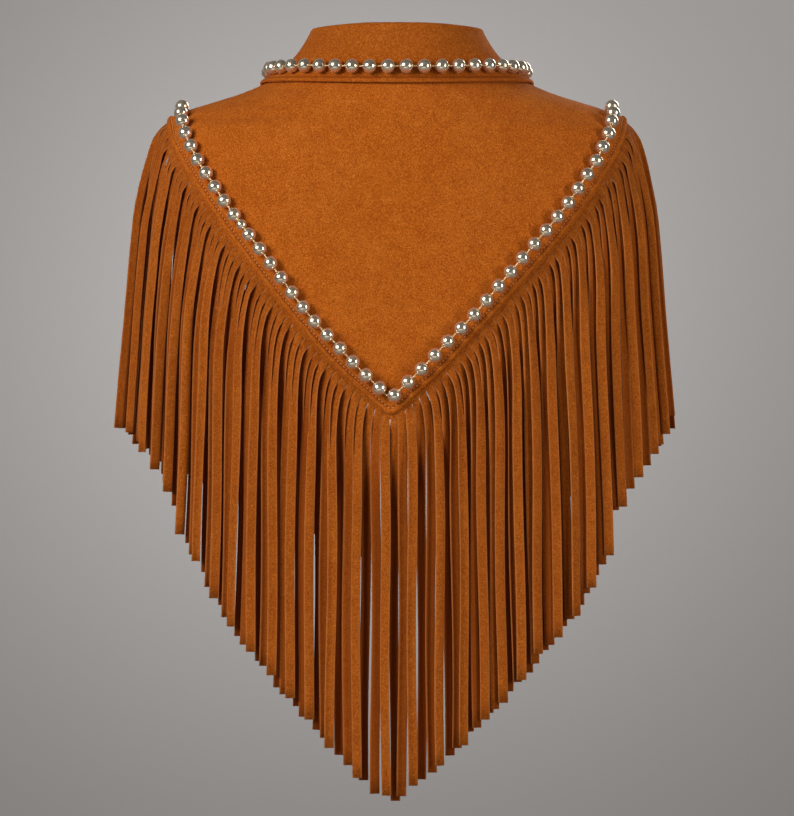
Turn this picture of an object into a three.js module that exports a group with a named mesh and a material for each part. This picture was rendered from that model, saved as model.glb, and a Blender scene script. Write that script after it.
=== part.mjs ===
import * as THREE from 'three';

// A suede fringe cape in its worn form, empty. Millimetres, +Z up, the wearer faces -Y.
// The origin is the middle of the neck opening, level with the shoulder neck points.

// Cloth
const SUEDE = 1.6;
const COLLAR_SUEDE = 2;
const SEAM_GAP = 0.3;
const HEM_RIDGE = 0.9;

// Fringe
const ROOT_PITCH = 9.5;
const SLIT = 0.6;
const STRAND_WIDTH = 8.4;
const STRAND_THICK = 1.2;
const RIDGE_NARROWING = 0.67;
const STRAND_FRONT = 270;
const HEADER_INSIDE = 7.5;
const HEADER_BELOW = 3;
const HEADER_GAP = 0.4;
const TURN_LENGTH = 13;
const LAYER_STEP = 3.6;
const LAYER_ORDER = [1, 0, 2];
const SHOULDER_FLARE = 0.072;

// Ball chain
const BALL_RADIUS = 5.5;
const LINK_RADIUS = 1.5;
const BALL_PITCH = 15.9;
const CHAIN_LIFT = 5.8;
const CHAIN_END = 0.6;
const CONNECTOR_RADIUS = 4.6;
const CONNECTOR_REACH = 11.3;
const CONNECTOR_AFTER = 12;

// Collar
const COLLAR_GAP = 1.5;
const FOLD_RADIUS = 3.5;
const STAND_LIFT = 1.3;

// Inside face of the worn cloth, a row per height from the neck down:
// height, half width, depth behind, depth in front, squareness of the section
const BODY = [
  [6, 66, 57, 41, 2.0],
  [0, 75, 62, 45, 2.0],
  [-10, 96, 70, 51, 1.85],
  [-21, 118.2, 78, 57, 1.7],
  [-28.9, 137.5, 83, 60, 1.6],
  [-35.9, 159.5, 87, 63, 1.55],
  [-41.6, 178, 89, 65, 1.5],
  [-47.3, 193.5, 91, 67, 1.5],
  [-50.5, 200, 92, 68, 1.5],
  [-60, 208, 94, 72, 1.7],
  [-75, 212, 97, 77, 1.85],
  [-100, 215, 101, 85, 2.0],
  [-150, 217, 105, 98, 2.2],
  [-200, 218, 107.5, 106, 2.3],
  [-300, 220, 109, 111, 2.4],
  [-660, 222, 110, 113, 2.4],
];

// Edges of the panels on that face, rows of half width and height, from the shoulder ridge on
const NECK_BEHIND = [[75, 0], [60, 1.2], [32, 2], [0, 2]];
const NECK_IN_FRONT = [[75, 0], [74, -8], [69, -22], [58, -42], [42, -62], [24, -75], [8, -80]];
const HEM_BEHIND = [
  [200, -50.5], [199.5, -59], [196, -70], [187.7, -87], [176.5, -105],
  [158.5, -133.4], [136.8, -162.5], [110.6, -194.7], [92.7, -216.3], [68.9, -243.4],
  [50.9, -264], [34.4, -280.2], [23.4, -290], [11.2, -301.4], [0, -309],
];
const HEM_IN_FRONT = [
  [200, -50.5], [199, -59], [193, -70], [178, -86], [150, -106],
  [118, -125], [84, -142], [50, -156], [28, -165],
];

// The ball chain runs inside those hems, on rows of half width and height
const CHAIN_BEHIND = [
  [186.5, -44.7], [185.5, -47.3], [185, -52], [183.4, -58.5], [179, -69.5], [173.6, -81],
  [168, -92.4], [161.1, -103], [145.8, -126.6], [127.5, -151], [107.9, -175.7],
  [88.8, -200.2], [68.8, -225.2], [45.4, -250.1], [24.6, -272.1], [12, -284.1], [0, -294],
];
const CHAIN_IN_FRONT = [
  [186.5, -44.7], [186.5, -49], [185, -56], [180.2, -64.4], [164.8, -79.7], [146.3, -92.6],
  [126.9, -104.8], [107.2, -115.9], [87.4, -125.9], [67, -135], [46, -143.5], [25, -152.1],
];

// The point of the back hangs a little to the wearer's left
const SWAY = 5.5;
const SWAY_FROM = -115;
const SWAY_TO = -255;

// Collar, rows from the middle of the back to the front end
const FOLD_LINE = [
  [0, 66, 26], [28, 61, 26], [52, 44, 25.5], [68.5, 22, 25], [72.5, 0, 24.5],
  [71, -21, 17], [60, -44, -3], [38, -62, -32], [13, -70, -60],
];
const FALL_EDGE_BEHIND = [[0, -25.2], [60, -23.6], [95, -22], [117, -20.4]];
const FALL_EDGE_IN_FRONT = [[117, -20.4], [113, -36], [100, -64], [77, -98], [50, -128]];

// How far the fall of the collar stands out of straight, and how far its chain is from the
// edge, by column from the middle behind
const FALL_SWELL = [[0, 3], [0.25, 1], [0.5, -5.5], [0.75, 1.5], [1, 3]];
const COLLAR_CHAIN_INSET = [
  [0, 14.5], [0.28, 13.5], [0.36, 11.5], [0.42, 8.5], [0.5, 7], [0.62, 9], [1, 13],
];

// Length of the strands behind, by distance along the hem from the shoulder ridge
// reach, right, left
const STRAND_LENGTHS = [
  [0, 259, 270], [30, 267, 256], [78, 272, 256], [100, 276, 256], [112, 300, 274],
  [140, 312, 281], [170, 317, 297], [220, 319, 307], [300, 322, 313], [350, 326, 326],
];

// Meshing
const PANEL_ROWS = [0, 0.15, 0.3, 0.45, 0.6, 0.74, 0.87];
const HEM_ROWS = [[8.5, 0], [4.2, HEM_RIDGE], [1.1, HEM_RIDGE], [0, 0]];
const BACK_COLUMNS = 36;
const FRONT_COLUMNS = 16;
const COLLAR_COLUMNS = 36;
const STRAND_STATIONS = [9, 22, 42, 120];
const CHAIN_SIDES = 6;
const UP = new THREE.Vector3(0, 0, 1);
const DEGREE = Math.PI / 180;

const lerp = THREE.MathUtils.lerp;
const clamp = THREE.MathUtils.clamp;
const smooth = (value) => THREE.MathUtils.smoothstep(value, 0, 1);

function noise(index) {
  const wave = Math.sin(index * 12.9898 + 78.233) * 43758.5453;
  return wave - Math.floor(wave);
}

// Straight lines between rows of place and value
function between(rows, place, column = 1) {
  let i = 1;
  while (i < rows.length - 1 && rows[i][0] < place) i += 1;
  const [from, to] = [rows[i - 1], rows[i]];
  return lerp(from[column], to[column], clamp((place - from[0]) / (to[0] - from[0]), 0, 1));
}

// Smooth curve through a column of a table, without overshoot between its rows
function columnCurve(rows, column) {
  const place = rows.map((row) => -row[0]);
  const value = rows.map((row) => row[column]);
  const slope = [];
  for (let i = 0; i + 1 < rows.length; i += 1) {
    slope.push((value[i + 1] - value[i]) / (place[i + 1] - place[i]));
  }
  const tangent = value.map((_, i) => {
    if (i === 0 || i === value.length - 1) return slope[Math.min(i, slope.length - 1)];
    if (slope[i - 1] * slope[i] <= 0) return 0;
    return (2 * slope[i - 1] * slope[i]) / (slope[i - 1] + slope[i]);
  });
  return (height) => {
    const at = clamp(-height, place[0], place[place.length - 1]);
    let i = 0;
    while (i + 2 < place.length && at > place[i + 1]) i += 1;
    const span = place[i + 1] - place[i];
    const t = (at - place[i]) / span;
    const rise = value[i] * (1 + 2 * t) * (1 - t) ** 2 + value[i + 1] * t * t * (3 - 2 * t);
    return rise + span * (tangent[i] * t * (1 - t) ** 2 - tangent[i + 1] * t * t * (1 - t));
  };
}

const halfWidth = columnCurve(BODY, 1);
const depthBehind = columnCurve(BODY, 2);
const depthInFront = columnCurve(BODY, 3);
const squareness = columnCurve(BODY, 4);

// How far out a place is, 1 on the inside face of the cloth
function bodyLevel(x, y, z) {
  const power = squareness(z);
  const depth = y >= 0 ? depthBehind(z) : depthInFront(z);
  return (Math.abs(x) / halfWidth(z)) ** power + (Math.abs(y) / depth) ** power;
}

function bodyNormal(x, y, z) {
  const step = 0.05;
  return new THREE.Vector3(
    bodyLevel(x + step, y, z) - bodyLevel(x - step, y, z),
    bodyLevel(x, y + step, z) - bodyLevel(x, y - step, z),
    bodyLevel(x, y, z + step) - bodyLevel(x, y, z - step),
  ).normalize();
}

function sway(angle, z) {
  const fade = 1 - Math.abs(Math.sin(angle)) ** 6;
  return Math.cos(angle) > 0 ? SWAY * smooth((z - SWAY_FROM) / (SWAY_TO - SWAY_FROM)) * fade : 0;
}

// A place on the body by angle (0 middle of the back, a right angle the shoulder ridge,
// two the middle of the front), height and distance out of the inside face
function onBody(angle, z, out = 0) {
  const power = squareness(z);
  const behind = Math.cos(angle) >= 0;
  const depth = behind ? depthBehind(z) : depthInFront(z);
  const across = Math.min(Math.abs(Math.sin(angle)), 1);
  const x = halfWidth(z) * Math.sin(angle);
  const y = (behind ? 1 : -1) * depth * (1 - across ** power) ** (1 / power);
  const normal = bodyNormal(x, y, z);
  const point = new THREE.Vector3(x, y, z).addScaledVector(normal, out);
  point.x += sway(angle, z);
  return { point, normal };
}

function angleOf(x, z, behind) {
  const slant = Math.asin(clamp(x / halfWidth(z), -1, 1));
  return behind ? slant : Math.PI - slant;
}

// A line on the body through rows of half width and height, even along its length and
// nearly level where it crosses the shoulder ridge
function bodyLine(rows, behind, bothSides) {
  const scale = 150;
  const fine = 24;
  const half = rows.map(([x, z]) => new THREE.Vector3(angleOf(x, z, behind) * scale, z, 0));
  half.unshift(new THREE.Vector3(2 * half[0].x - half[1].x, half[0].y, 0));
  const flipped = half.map((p) => new THREE.Vector3(-p.x, p.y, 0));
  const points = bothSides ? [...flipped, ...half.slice(0, -1).reverse()] : half;
  const curve = new THREE.CatmullRomCurve3(points, false, 'centripetal');
  const all = curve.getPoints((points.length - 1) * fine);
  const samples = all.slice(fine, bothSides ? -fine : undefined)
    .map((p) => ({ angle: p.x / scale, z: p.y }));
  const lengths = [0];
  for (let i = 1; i < samples.length; i += 1) {
    const from = onBody(samples[i - 1].angle, samples[i - 1].z).point;
    const to = onBody(samples[i].angle, samples[i].z).point;
    lengths.push(lengths[i - 1] + from.distanceTo(to));
  }
  const length = lengths[lengths.length - 1];
  const at = (share) => {
    const goal = clamp(share, 0, 1) * length;
    let i = 1;
    while (i < lengths.length - 1 && lengths[i] < goal) i += 1;
    const t = (goal - lengths[i - 1]) / (lengths[i] - lengths[i - 1]);
    return {
      angle: lerp(samples[i - 1].angle, samples[i].angle, t),
      z: lerp(samples[i - 1].z, samples[i].z, t),
    };
  };
  return { length, at };
}

// A panel of cloth from a neck line to a hem line. Its columns run from one to the other,
// closer together where the hem bends: at its ends, and in the middle too with two swells
function makePanel(neck, hem, columns, swells, shift) {
  const stops = [];
  for (let c = 0; c <= columns; c += 1) {
    const even = c / columns;
    stops.push(even - (0.09 / swells) * Math.sin(2 * Math.PI * swells * even));
  }
  const spot = (u, t) => {
    const from = neck.at(u);
    const to = hem.at(u);
    return { angle: lerp(from.angle, to.angle, t), z: lerp(from.z, to.z, t) };
  };
  const place = (u, t, out) => {
    const { angle, z } = spot(u, t);
    const found = onBody(angle, z, out);
    found.point.y += shift;
    return found;
  };
  const hemMarks = 240;
  const hemPoints = [];
  for (let i = 0; i <= hemMarks; i += 1) hemPoints.push(place(i / hemMarks, 1, 0).point);
  const distanceToHem = (point, u) => {
    const middle = Math.round(u * hemMarks);
    const first = Math.max(middle - 20, 0);
    const last = Math.min(middle + 20, hemMarks);
    let least = Infinity;
    const nearest = new THREE.Vector3();
    for (let i = first; i < last; i += 1) {
      new THREE.Line3(hemPoints[i], hemPoints[i + 1]).closestPointToPoint(point, true, nearest);
      least = Math.min(least, nearest.distanceTo(point));
    }
    return least;
  };
  // Where a column is a distance in from the hem line, or beyond it when negative
  const shareFromHem = (u, distance) => {
    if (distance === 0) return 1;
    let near = 1;
    let far = distance > 0 ? 0.5 : 1.5;
    for (let i = 0; i < 20; i += 1) {
      const middle = (near + far) / 2;
      if (distanceToHem(place(u, middle, 0).point, u) < Math.abs(distance)) near = middle;
      else far = middle;
    }
    return near;
  };
  const fromHem = (u, distance, out) => place(u, shareFromHem(u, distance), out);
  const spotFromHem = (u, distance) => spot(u, shareFromHem(u, distance));
  const overNeck = (u, distance, out) => {
    const step = 0.01;
    const stride = place(u, step, 0).point.distanceTo(place(u, 0, 0).point) / step;
    return place(u, -distance / stride, out);
  };
  return { neck, hem, stops, shift, place, fromHem, spotFromHem, overNeck };
}

// Adds four-sided faces, each split along its shorter diagonal
function faceAdder(positions, index) {
  const gap = (a, b) => Math.hypot(...[0, 1, 2].map((k) => positions[3 * a + k] - positions[3 * b + k]));
  return (a, b, c, d) => {
    if (gap(a, c) <= gap(b, d)) index.push(a, b, c, a, c, d);
    else index.push(b, c, d, b, d, a);
  };
}

// Closed mesh from the inner and outer points of a sheet, both as rows of columns
function closedSheet(inner, outer) {
  const rows = inner.length;
  const columns = inner[0].length;
  const positions = [];
  [outer, inner].forEach((grid) => grid.forEach((row) => row.forEach((p) => positions.push(...p))));
  const index = [];
  const vertex = (layer, r, c) => layer * rows * columns + r * columns + c;
  const quad = faceAdder(positions, index);
  for (let r = 0; r + 1 < rows; r += 1) {
    for (let c = 0; c + 1 < columns; c += 1) {
      quad(vertex(0, r, c), vertex(0, r, c + 1), vertex(0, r + 1, c + 1), vertex(0, r + 1, c));
      quad(vertex(1, r, c), vertex(1, r + 1, c), vertex(1, r + 1, c + 1), vertex(1, r, c + 1));
    }
  }
  for (let c = 0; c + 1 < columns; c += 1) {
    quad(vertex(0, 0, c + 1), vertex(0, 0, c), vertex(1, 0, c), vertex(1, 0, c + 1));
    const last = rows - 1;
    quad(vertex(0, last, c), vertex(0, last, c + 1), vertex(1, last, c + 1), vertex(1, last, c));
  }
  for (let r = 0; r + 1 < rows; r += 1) {
    quad(vertex(0, r, 0), vertex(0, r + 1, 0), vertex(1, r + 1, 0), vertex(1, r, 0));
    const last = columns - 1;
    quad(vertex(0, r + 1, last), vertex(0, r, last), vertex(1, r, last), vertex(1, r + 1, last));
  }
  return meshData(positions, index);
}

function meshData(positions, index) {
  const geometry = new THREE.BufferGeometry();
  geometry.setAttribute('position', new THREE.Float32BufferAttribute(positions, 3));
  geometry.setIndex(index);
  return geometry;
}

// The same piece on the other side of the wearer
function mirrored(geometry) {
  const copy = geometry.clone();
  const position = copy.getAttribute('position');
  for (let i = 0; i < position.count; i += 1) position.setX(i, -position.getX(i));
  const index = Array.from(copy.getIndex().array);
  for (let i = 0; i < index.length; i += 3) {
    [index[i + 1], index[i + 2]] = [index[i + 2], index[i + 1]];
  }
  copy.setIndex(index);
  return copy;
}

function panelGeometry(panel) {
  const inner = [];
  const outer = [];
  const addRow = (placeAt) => {
    inner.push([]);
    outer.push([]);
    panel.stops.forEach((u) => {
      const [inside, outside] = placeAt(u);
      inner[inner.length - 1].push(inside.point.toArray());
      outer[outer.length - 1].push(outside.point.toArray());
    });
  };
  PANEL_ROWS.forEach((t) => {
    addRow((u) => [panel.place(u, t, 0), panel.place(u, t, SUEDE)]);
  });
  HEM_ROWS.forEach(([inset, raise]) => {
    addRow((u) => [panel.fromHem(u, inset, 0), panel.fromHem(u, inset, SUEDE + raise)]);
  });
  return closedSheet(inner, outer);
}

// A point under the flat facets of the panel, so a strip made of them keeps its gap
function underPanel(panel, u, inset, out) {
  let c = 1;
  while (c < panel.stops.length - 1 && panel.stops[c] < u) c += 1;
  const [from, to] = [panel.stops[c - 1], panel.stops[c]];
  const left = panel.fromHem(from, inset, out).point;
  const right = panel.fromHem(to, inset, out).point;
  return left.lerp(right, (u - from) / (to - from));
}

// Directions on the body at a spot: out of it, level along it, and down it
function bodyFrame(angle, z) {
  const step = 0.01;
  const ahead = onBody(angle + step, z).point;
  const behind = onBody(angle - step, z).point;
  const level = ahead.clone().sub(behind);
  const stride = level.length() / (2 * step);
  level.normalize();
  const { point, normal } = onBody(angle, z);
  const down = level.clone().cross(normal).normalize();
  if (down.z > 0) down.negate();
  level.copy(normal).cross(down).normalize();
  if (level.dot(ahead.sub(behind)) < 0) level.negate();
  return { point, normal, level, down, stride };
}

// Rings of one strand: it leaves square to the hem, turns down and hangs clear of its neighbours
function strandRings(panel, strand) {
  const start = panel.spotFromHem(strand.u, -HEADER_BELOW);
  const root = bodyFrame(start.angle, start.z);
  const step = 0.004;
  const before = panel.place(Math.max(strand.u - step, 0), 1, 0).point;
  const after = panel.place(Math.min(strand.u + step, 1), 1, 0).point;
  const away = root.normal.clone().cross(after.sub(before)).normalize();
  const heading = strand.leaving * Math.atan2(away.dot(root.level), away.dot(root.down));
  const stations = [...STRAND_STATIONS, strand.length];
  const rings = [];
  let { angle, z } = start;
  let walked = 0;
  const stride = 3;
  stations.forEach((station) => {
    while (walked < station - 1e-6) {
      const part = Math.min(stride, station - walked);
      const turn = heading * Math.exp(-walked / TURN_LENGTH) + strand.lean;
      const here = bodyFrame(angle, z);
      angle += (Math.sin(turn) * part) / here.stride;
      z += Math.cos(turn) * part * here.down.z;
      walked += part;
    }
    const here = bodyFrame(angle, z);
    const turn = heading * Math.exp(-station / TURN_LENGTH) + strand.lean;
    const settled = smooth(station / 16);
    const out = -HEADER_GAP - STRAND_THICK / 2 + settled * strand.layer * LAYER_STEP
      + station * strand.flare;
    const centre = here.point.clone().addScaledVector(here.normal, out);
    centre.y += panel.shift;
    const wide = here.level.clone().multiplyScalar(Math.cos(turn))
      .addScaledVector(here.down, -Math.sin(turn));
    const twist = strand.twist * smooth((station - 20) / 180);
    const width = wide.clone().multiplyScalar(Math.cos(twist))
      .addScaledVector(here.normal, Math.sin(twist));
    const thick = here.normal.clone().multiplyScalar(Math.cos(twist))
      .addScaledVector(wide, -Math.sin(twist));
    const across = lerp(strand.rootWidth, strand.width, smooth(station / 18)) / 2;
    const corner = (side, face) => centre.clone().addScaledVector(width, side * across)
      .addScaledVector(thick, (face * STRAND_THICK) / 2);
    rings.push([corner(-1, 1), corner(1, 1), corner(1, -1), corner(-1, -1)]);
  });
  return rings;
}

function strandTable(panel, seed, firstLayer, reaches) {
  const count = Math.round(panel.hem.length / ROOT_PITCH);
  const strands = [];
  for (let k = 0; k < count; k += 1) {
    const u = (k + 0.5) / count;
    const { angle } = panel.hem.at(u);
    const bend = Math.sin(2 * angle);
    const { fromRidge, fromPoint, length } = reaches(u);
    strands.push({
      u,
      rootWidth: panel.hem.length / count - SLIT,
      halfRoot: (0.5 * (panel.hem.length / count - SLIT)) / panel.hem.length,
      width: STRAND_WIDTH * lerp(RIDGE_NARROWING, 1, smooth(fromRidge / 60)),
      length: length + 6 * (noise(seed + k) - 0.5),
      leaving: smooth(fromRidge / 30) * smooth((fromPoint + 6) / 60),
      layer: LAYER_ORDER[(k + firstLayer) % LAYER_ORDER.length],
      lean: DEGREE * (1.2 * bend * Math.abs(bend) + 1.2 * (noise(seed + 300 + k) - 0.5)),
      twist: DEGREE * 28 * (noise(seed + 600 + k) - 0.5),
      flare: SHOULDER_FLARE * Math.abs(Math.sin(angle)) ** 6,
    });
  }
  return strands;
}

// Narrow strip behind the hem with its strands, as one closed mesh
function fringeGeometry(panel, strands) {
  const positions = [];
  const index = [];
  const add = (point) => {
    positions.push(...point.toArray());
    return positions.length / 3 - 1;
  };
  const quad = faceAdder(positions, index);
  const near = -HEADER_GAP;
  const far = -HEADER_GAP - STRAND_THICK;
  const column = (u) => ({
    topOut: add(underPanel(panel, u, HEADER_INSIDE, near)),
    topIn: add(underPanel(panel, u, HEADER_INSIDE, far)),
    lowOut: add(underPanel(panel, u, -HEADER_BELOW, near)),
    lowIn: add(underPanel(panel, u, -HEADER_BELOW, far)),
  });
  const faces = (left, right) => {
    quad(left.topOut, right.topOut, right.lowOut, left.lowOut);
    quad(left.topIn, left.lowIn, right.lowIn, right.topIn);
    quad(left.topOut, left.topIn, right.topIn, right.topOut);
  };
  const cap = (edge, flip) => {
    const ring = [edge.topOut, edge.lowOut, edge.lowIn, edge.topIn];
    if (flip) ring.reverse();
    quad(...ring);
  };
  let last = null;
  strands.forEach((strand, k) => {
    const left = column(strand.u - strand.halfRoot);
    const right = column(strand.u + strand.halfRoot);
    if (k === 0) cap(left, false);
    if (last) {
      faces(last, left);
      quad(last.lowOut, left.lowOut, left.lowIn, last.lowIn);
    }
    faces(left, right);
    let ring = [left.lowOut, right.lowOut, right.lowIn, left.lowIn];
    strandRings(panel, strand).forEach((corners) => {
      const next = corners.map(add);
      for (let i = 0; i < 4; i += 1) {
        const j = (i + 1) % 4;
        quad(ring[i], ring[j], next[j], next[i]);
      }
      ring = next;
    });
    quad(...ring);
    last = right;
  });
  cap(last, true);
  return meshData(positions, index);
}

// A line in space with its outward direction, measured by its length
function measuredLine(samples) {
  const lengths = [0];
  for (let i = 1; i < samples.length; i += 1) {
    lengths.push(lengths[i - 1] + samples[i].point.distanceTo(samples[i - 1].point));
  }
  const length = lengths[lengths.length - 1];
  const at = (distance) => {
    const goal = clamp(distance, 0, length);
    let i = 1;
    while (i < lengths.length - 1 && lengths[i] < goal) i += 1;
    const t = (goal - lengths[i - 1]) / (lengths[i] - lengths[i - 1]);
    return {
      point: samples[i - 1].point.clone().lerp(samples[i].point, t),
      normal: samples[i - 1].normal.clone().lerp(samples[i].normal, t).normalize(),
    };
  };
  return { length, at };
}

function sampledLine(count, placeAt) {
  const samples = [];
  for (let i = 0; i <= count; i += 1) samples.push(placeAt(i / count));
  return measuredLine(samples);
}

// Balls and short links as one round bar whose radius changes along a line
function chainGeometry(line, balls, from, to) {
  const profile = [[from, LINK_RADIUS]];
  balls.forEach(({ at, radius }) => {
    profile.push([at - 0.95 * radius, LINK_RADIUS], [at - 0.45 * radius, 0.96 * radius]);
    profile.push([at + 0.45 * radius, 0.96 * radius], [at + 0.95 * radius, LINK_RADIUS]);
  });
  profile.push([to, LINK_RADIUS]);
  const positions = [];
  const index = [];
  profile.forEach(([at, radius]) => {
    const { point, normal } = line.at(at);
    const ahead = line.at(at + 1).point.sub(line.at(at - 1).point).normalize();
    const side = ahead.clone().cross(normal).normalize();
    const rise = side.clone().cross(ahead);
    for (let k = 0; k < CHAIN_SIDES; k += 1) {
      const turn = (2 * Math.PI * (k + 0.5)) / CHAIN_SIDES;
      const corner = point.clone().addScaledVector(side, radius * Math.cos(turn))
        .addScaledVector(rise, radius * Math.sin(turn));
      positions.push(...corner.toArray());
    }
  });
  const rings = profile.length;
  const vertex = (ring, k) => ring * CHAIN_SIDES + (k % CHAIN_SIDES);
  for (let r = 0; r + 1 < rings; r += 1) {
    for (let k = 0; k < CHAIN_SIDES; k += 1) {
      index.push(vertex(r, k), vertex(r + 1, k), vertex(r + 1, k + 1));
      index.push(vertex(r, k), vertex(r + 1, k + 1), vertex(r, k + 1));
    }
  }
  for (let k = 1; k + 1 < CHAIN_SIDES; k += 1) {
    index.push(vertex(0, 0), vertex(0, k), vertex(0, k + 1));
    index.push(vertex(rings - 1, 0), vertex(rings - 1, k + 1), vertex(rings - 1, k));
  }
  return meshData(positions, index);
}

// Collar rows for a column from the right front end (-1) over the back (0) to the left (1)
const foldCurve = new THREE.CatmullRomCurve3(
  FOLD_LINE.map((row) => new THREE.Vector3(...row)), false, 'centripetal');

function makeCollar(behind, inFront) {
  const edgeBehind = bodyLine([...FALL_EDGE_BEHIND].reverse(), true, true);
  const edgeInFront = bodyLine(FALL_EDGE_IN_FRONT, false, false);
  const edgeOut = SUEDE + COLLAR_GAP + COLLAR_SUEDE / 2;
  const half = (side) => {
    const base = side <= 0.5
      ? behind.overNeck(0.5 + side, STAND_LIFT, SUEDE / 2).point
      : inFront.overNeck(2 * side - 1, STAND_LIFT, SUEDE / 2).point;
    const spot = side <= 0.5 ? edgeBehind.at(0.5 + side) : edgeInFront.at(2 * side - 1);
    const edge = onBody(spot.angle, spot.z, edgeOut).point;
    const fold = foldCurve.getPoint(side);
    const along = foldCurve.getTangent(side);
    const outward = new THREE.Vector3(along.y, -along.x, 0).normalize();
    if (side < 0.02) outward.set(0, 1, 0);
    if (outward.dot(new THREE.Vector3(fold.x, fold.y, 0)) < 0) outward.negate();
    return { base, edge, fold, outward };
  };
  const rail = (column) => {
    const rails = half(Math.abs(column));
    if (column < 0) {
      Object.values(rails).forEach((point) => { point.x = -point.x; });
    }
    return rails;
  };
  const fall = (column, q) => {
    const { edge, fold, outward } = rail(column);
    const crest = fold.clone().addScaledVector(outward, FOLD_RADIUS);
    const swell = between(FALL_SWELL, Math.abs(column)) * Math.sin(Math.PI * q);
    return crest.lerp(edge, q)
      .addScaledVector(outward, 0.8 * swell)
      .addScaledVector(UP, 0.6 * swell);
  };
  const profile = (column) => {
    const { base, fold, outward } = rail(column);
    const inside = fold.clone().addScaledVector(outward, -FOLD_RADIUS);
    const top = fold.clone().addScaledVector(UP, FOLD_RADIUS);
    return [
      base, base.clone().lerp(inside, 0.5), inside, top,
      fall(column, 0), fall(column, 0.3), fall(column, 0.65), fall(column, 1),
    ];
  };
  return { profile, fall };
}

function collarGeometry(collar) {
  const profiles = [];
  for (let c = 0; c <= COLLAR_COLUMNS; c += 1) {
    profiles.push(collar.profile((2 * c) / COLLAR_COLUMNS - 1));
  }
  const rows = profiles[0].length;
  const inner = [];
  const outer = [];
  for (let r = 0; r < rows; r += 1) {
    inner.push([]);
    outer.push([]);
    for (let c = 0; c < profiles.length; c += 1) {
      const across = profiles[Math.min(c + 1, profiles.length - 1)][r].clone()
        .sub(profiles[Math.max(c - 1, 0)][r]);
      const along = profiles[c][Math.min(r + 1, rows - 1)].clone()
        .sub(profiles[c][Math.max(r - 1, 0)]);
      const normal = across.cross(along).normalize();
      const half = COLLAR_SUEDE / 2;
      outer[r].push(profiles[c][r].clone().addScaledVector(normal, half).toArray());
      inner[r].push(profiles[c][r].clone().addScaledVector(normal, -half).toArray());
    }
  }
  return closedSheet(inner, outer);
}

function collarChainLine(collar) {
  return sampledLine(160, (share) => {
    const column = lerp(-0.965, 0.965, share);
    const drop = collar.fall(column, 0).distanceTo(collar.fall(column, 1));
    const q = 1 - between(COLLAR_CHAIN_INSET, Math.abs(column)) / drop;
    const point = collar.fall(column, q);
    const across = collar.fall(column + 0.01, q).sub(collar.fall(column - 0.01, q));
    const along = collar.fall(column, q + 0.02).sub(collar.fall(column, q - 0.02));
    const normal = across.cross(along).normalize();
    point.addScaledVector(normal, COLLAR_SUEDE / 2 + CHAIN_LIFT);
    return { point, normal };
  });
}

// Balls from one end of a length to the other, half a pitch in from the seam at its start
function evenBalls(length, endRoom) {
  const count = Math.round((length - endRoom) / BALL_PITCH);
  const balls = [];
  for (let i = 0; i < count; i += 1) {
    balls.push({ at: (i + 0.5) * BALL_PITCH, radius: BALL_RADIUS });
  }
  return balls;
}

// Balls of the back: one at the point of the hem, and one small joining ball on the left
function backBalls(length) {
  const half = length / 2;
  const rightCount = Math.round(half / BALL_PITCH - 0.5);
  const rightPitch = half / (rightCount + 0.5);
  const leftSpan = half - 2 * CONNECTOR_REACH;
  const leftCount = Math.round(leftSpan / BALL_PITCH + 0.5);
  const leftPitch = leftSpan / (leftCount - 0.5);
  const balls = [];
  for (let i = rightCount; i >= 0; i -= 1) {
    balls.push({ at: half - i * rightPitch, radius: BALL_RADIUS });
  }
  let at = half;
  for (let i = 1; i <= leftCount; i += 1) {
    if (i === CONNECTOR_AFTER + 1) {
      balls.push({ at: at + CONNECTOR_REACH, radius: CONNECTOR_RADIUS });
      at += 2 * CONNECTOR_REACH;
    } else {
      at += leftPitch;
    }
    balls.push({ at, radius: BALL_RADIUS });
  }
  return balls;
}

const suede = new THREE.MeshStandardMaterial({ color: '#a9541c', roughness: 0.95, metalness: 0 });
const collarSuede = new THREE.MeshStandardMaterial({ color: '#a04d18', roughness: 0.95, metalness: 0 });
const fringeSuede = new THREE.MeshStandardMaterial({ color: '#984b19', roughness: 0.95, metalness: 0 });
const nickel = new THREE.MeshStandardMaterial({ color: '#d8d0c0', roughness: 0.15, metalness: 1 });

const group = new THREE.Group();

function addPiece(name, geometry, material) {
  geometry.computeVertexNormals();
  const mesh = new THREE.Mesh(geometry, material);
  mesh.name = name;
  group.add(mesh);
}

const backNeck = bodyLine(NECK_BEHIND, true, true);
const backHem = bodyLine(HEM_BEHIND, true, true);
const frontNeck = bodyLine(NECK_IN_FRONT, false, false);
const frontHem = bodyLine(HEM_IN_FRONT, false, false);
const backPanel = makePanel(backNeck, backHem, BACK_COLUMNS, 2, SEAM_GAP / 2);
const frontPanel = makePanel(frontNeck, frontHem, FRONT_COLUMNS, 1, -SEAM_GAP / 2);

const frontGeometry = panelGeometry(frontPanel);
addPiece('back_panel', panelGeometry(backPanel), suede);
addPiece('front_left', frontGeometry, suede);
addPiece('front_right', mirrored(frontGeometry), suede);

const collar = makeCollar(backPanel, frontPanel);
addPiece('collar', collarGeometry(collar), collarSuede);

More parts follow.
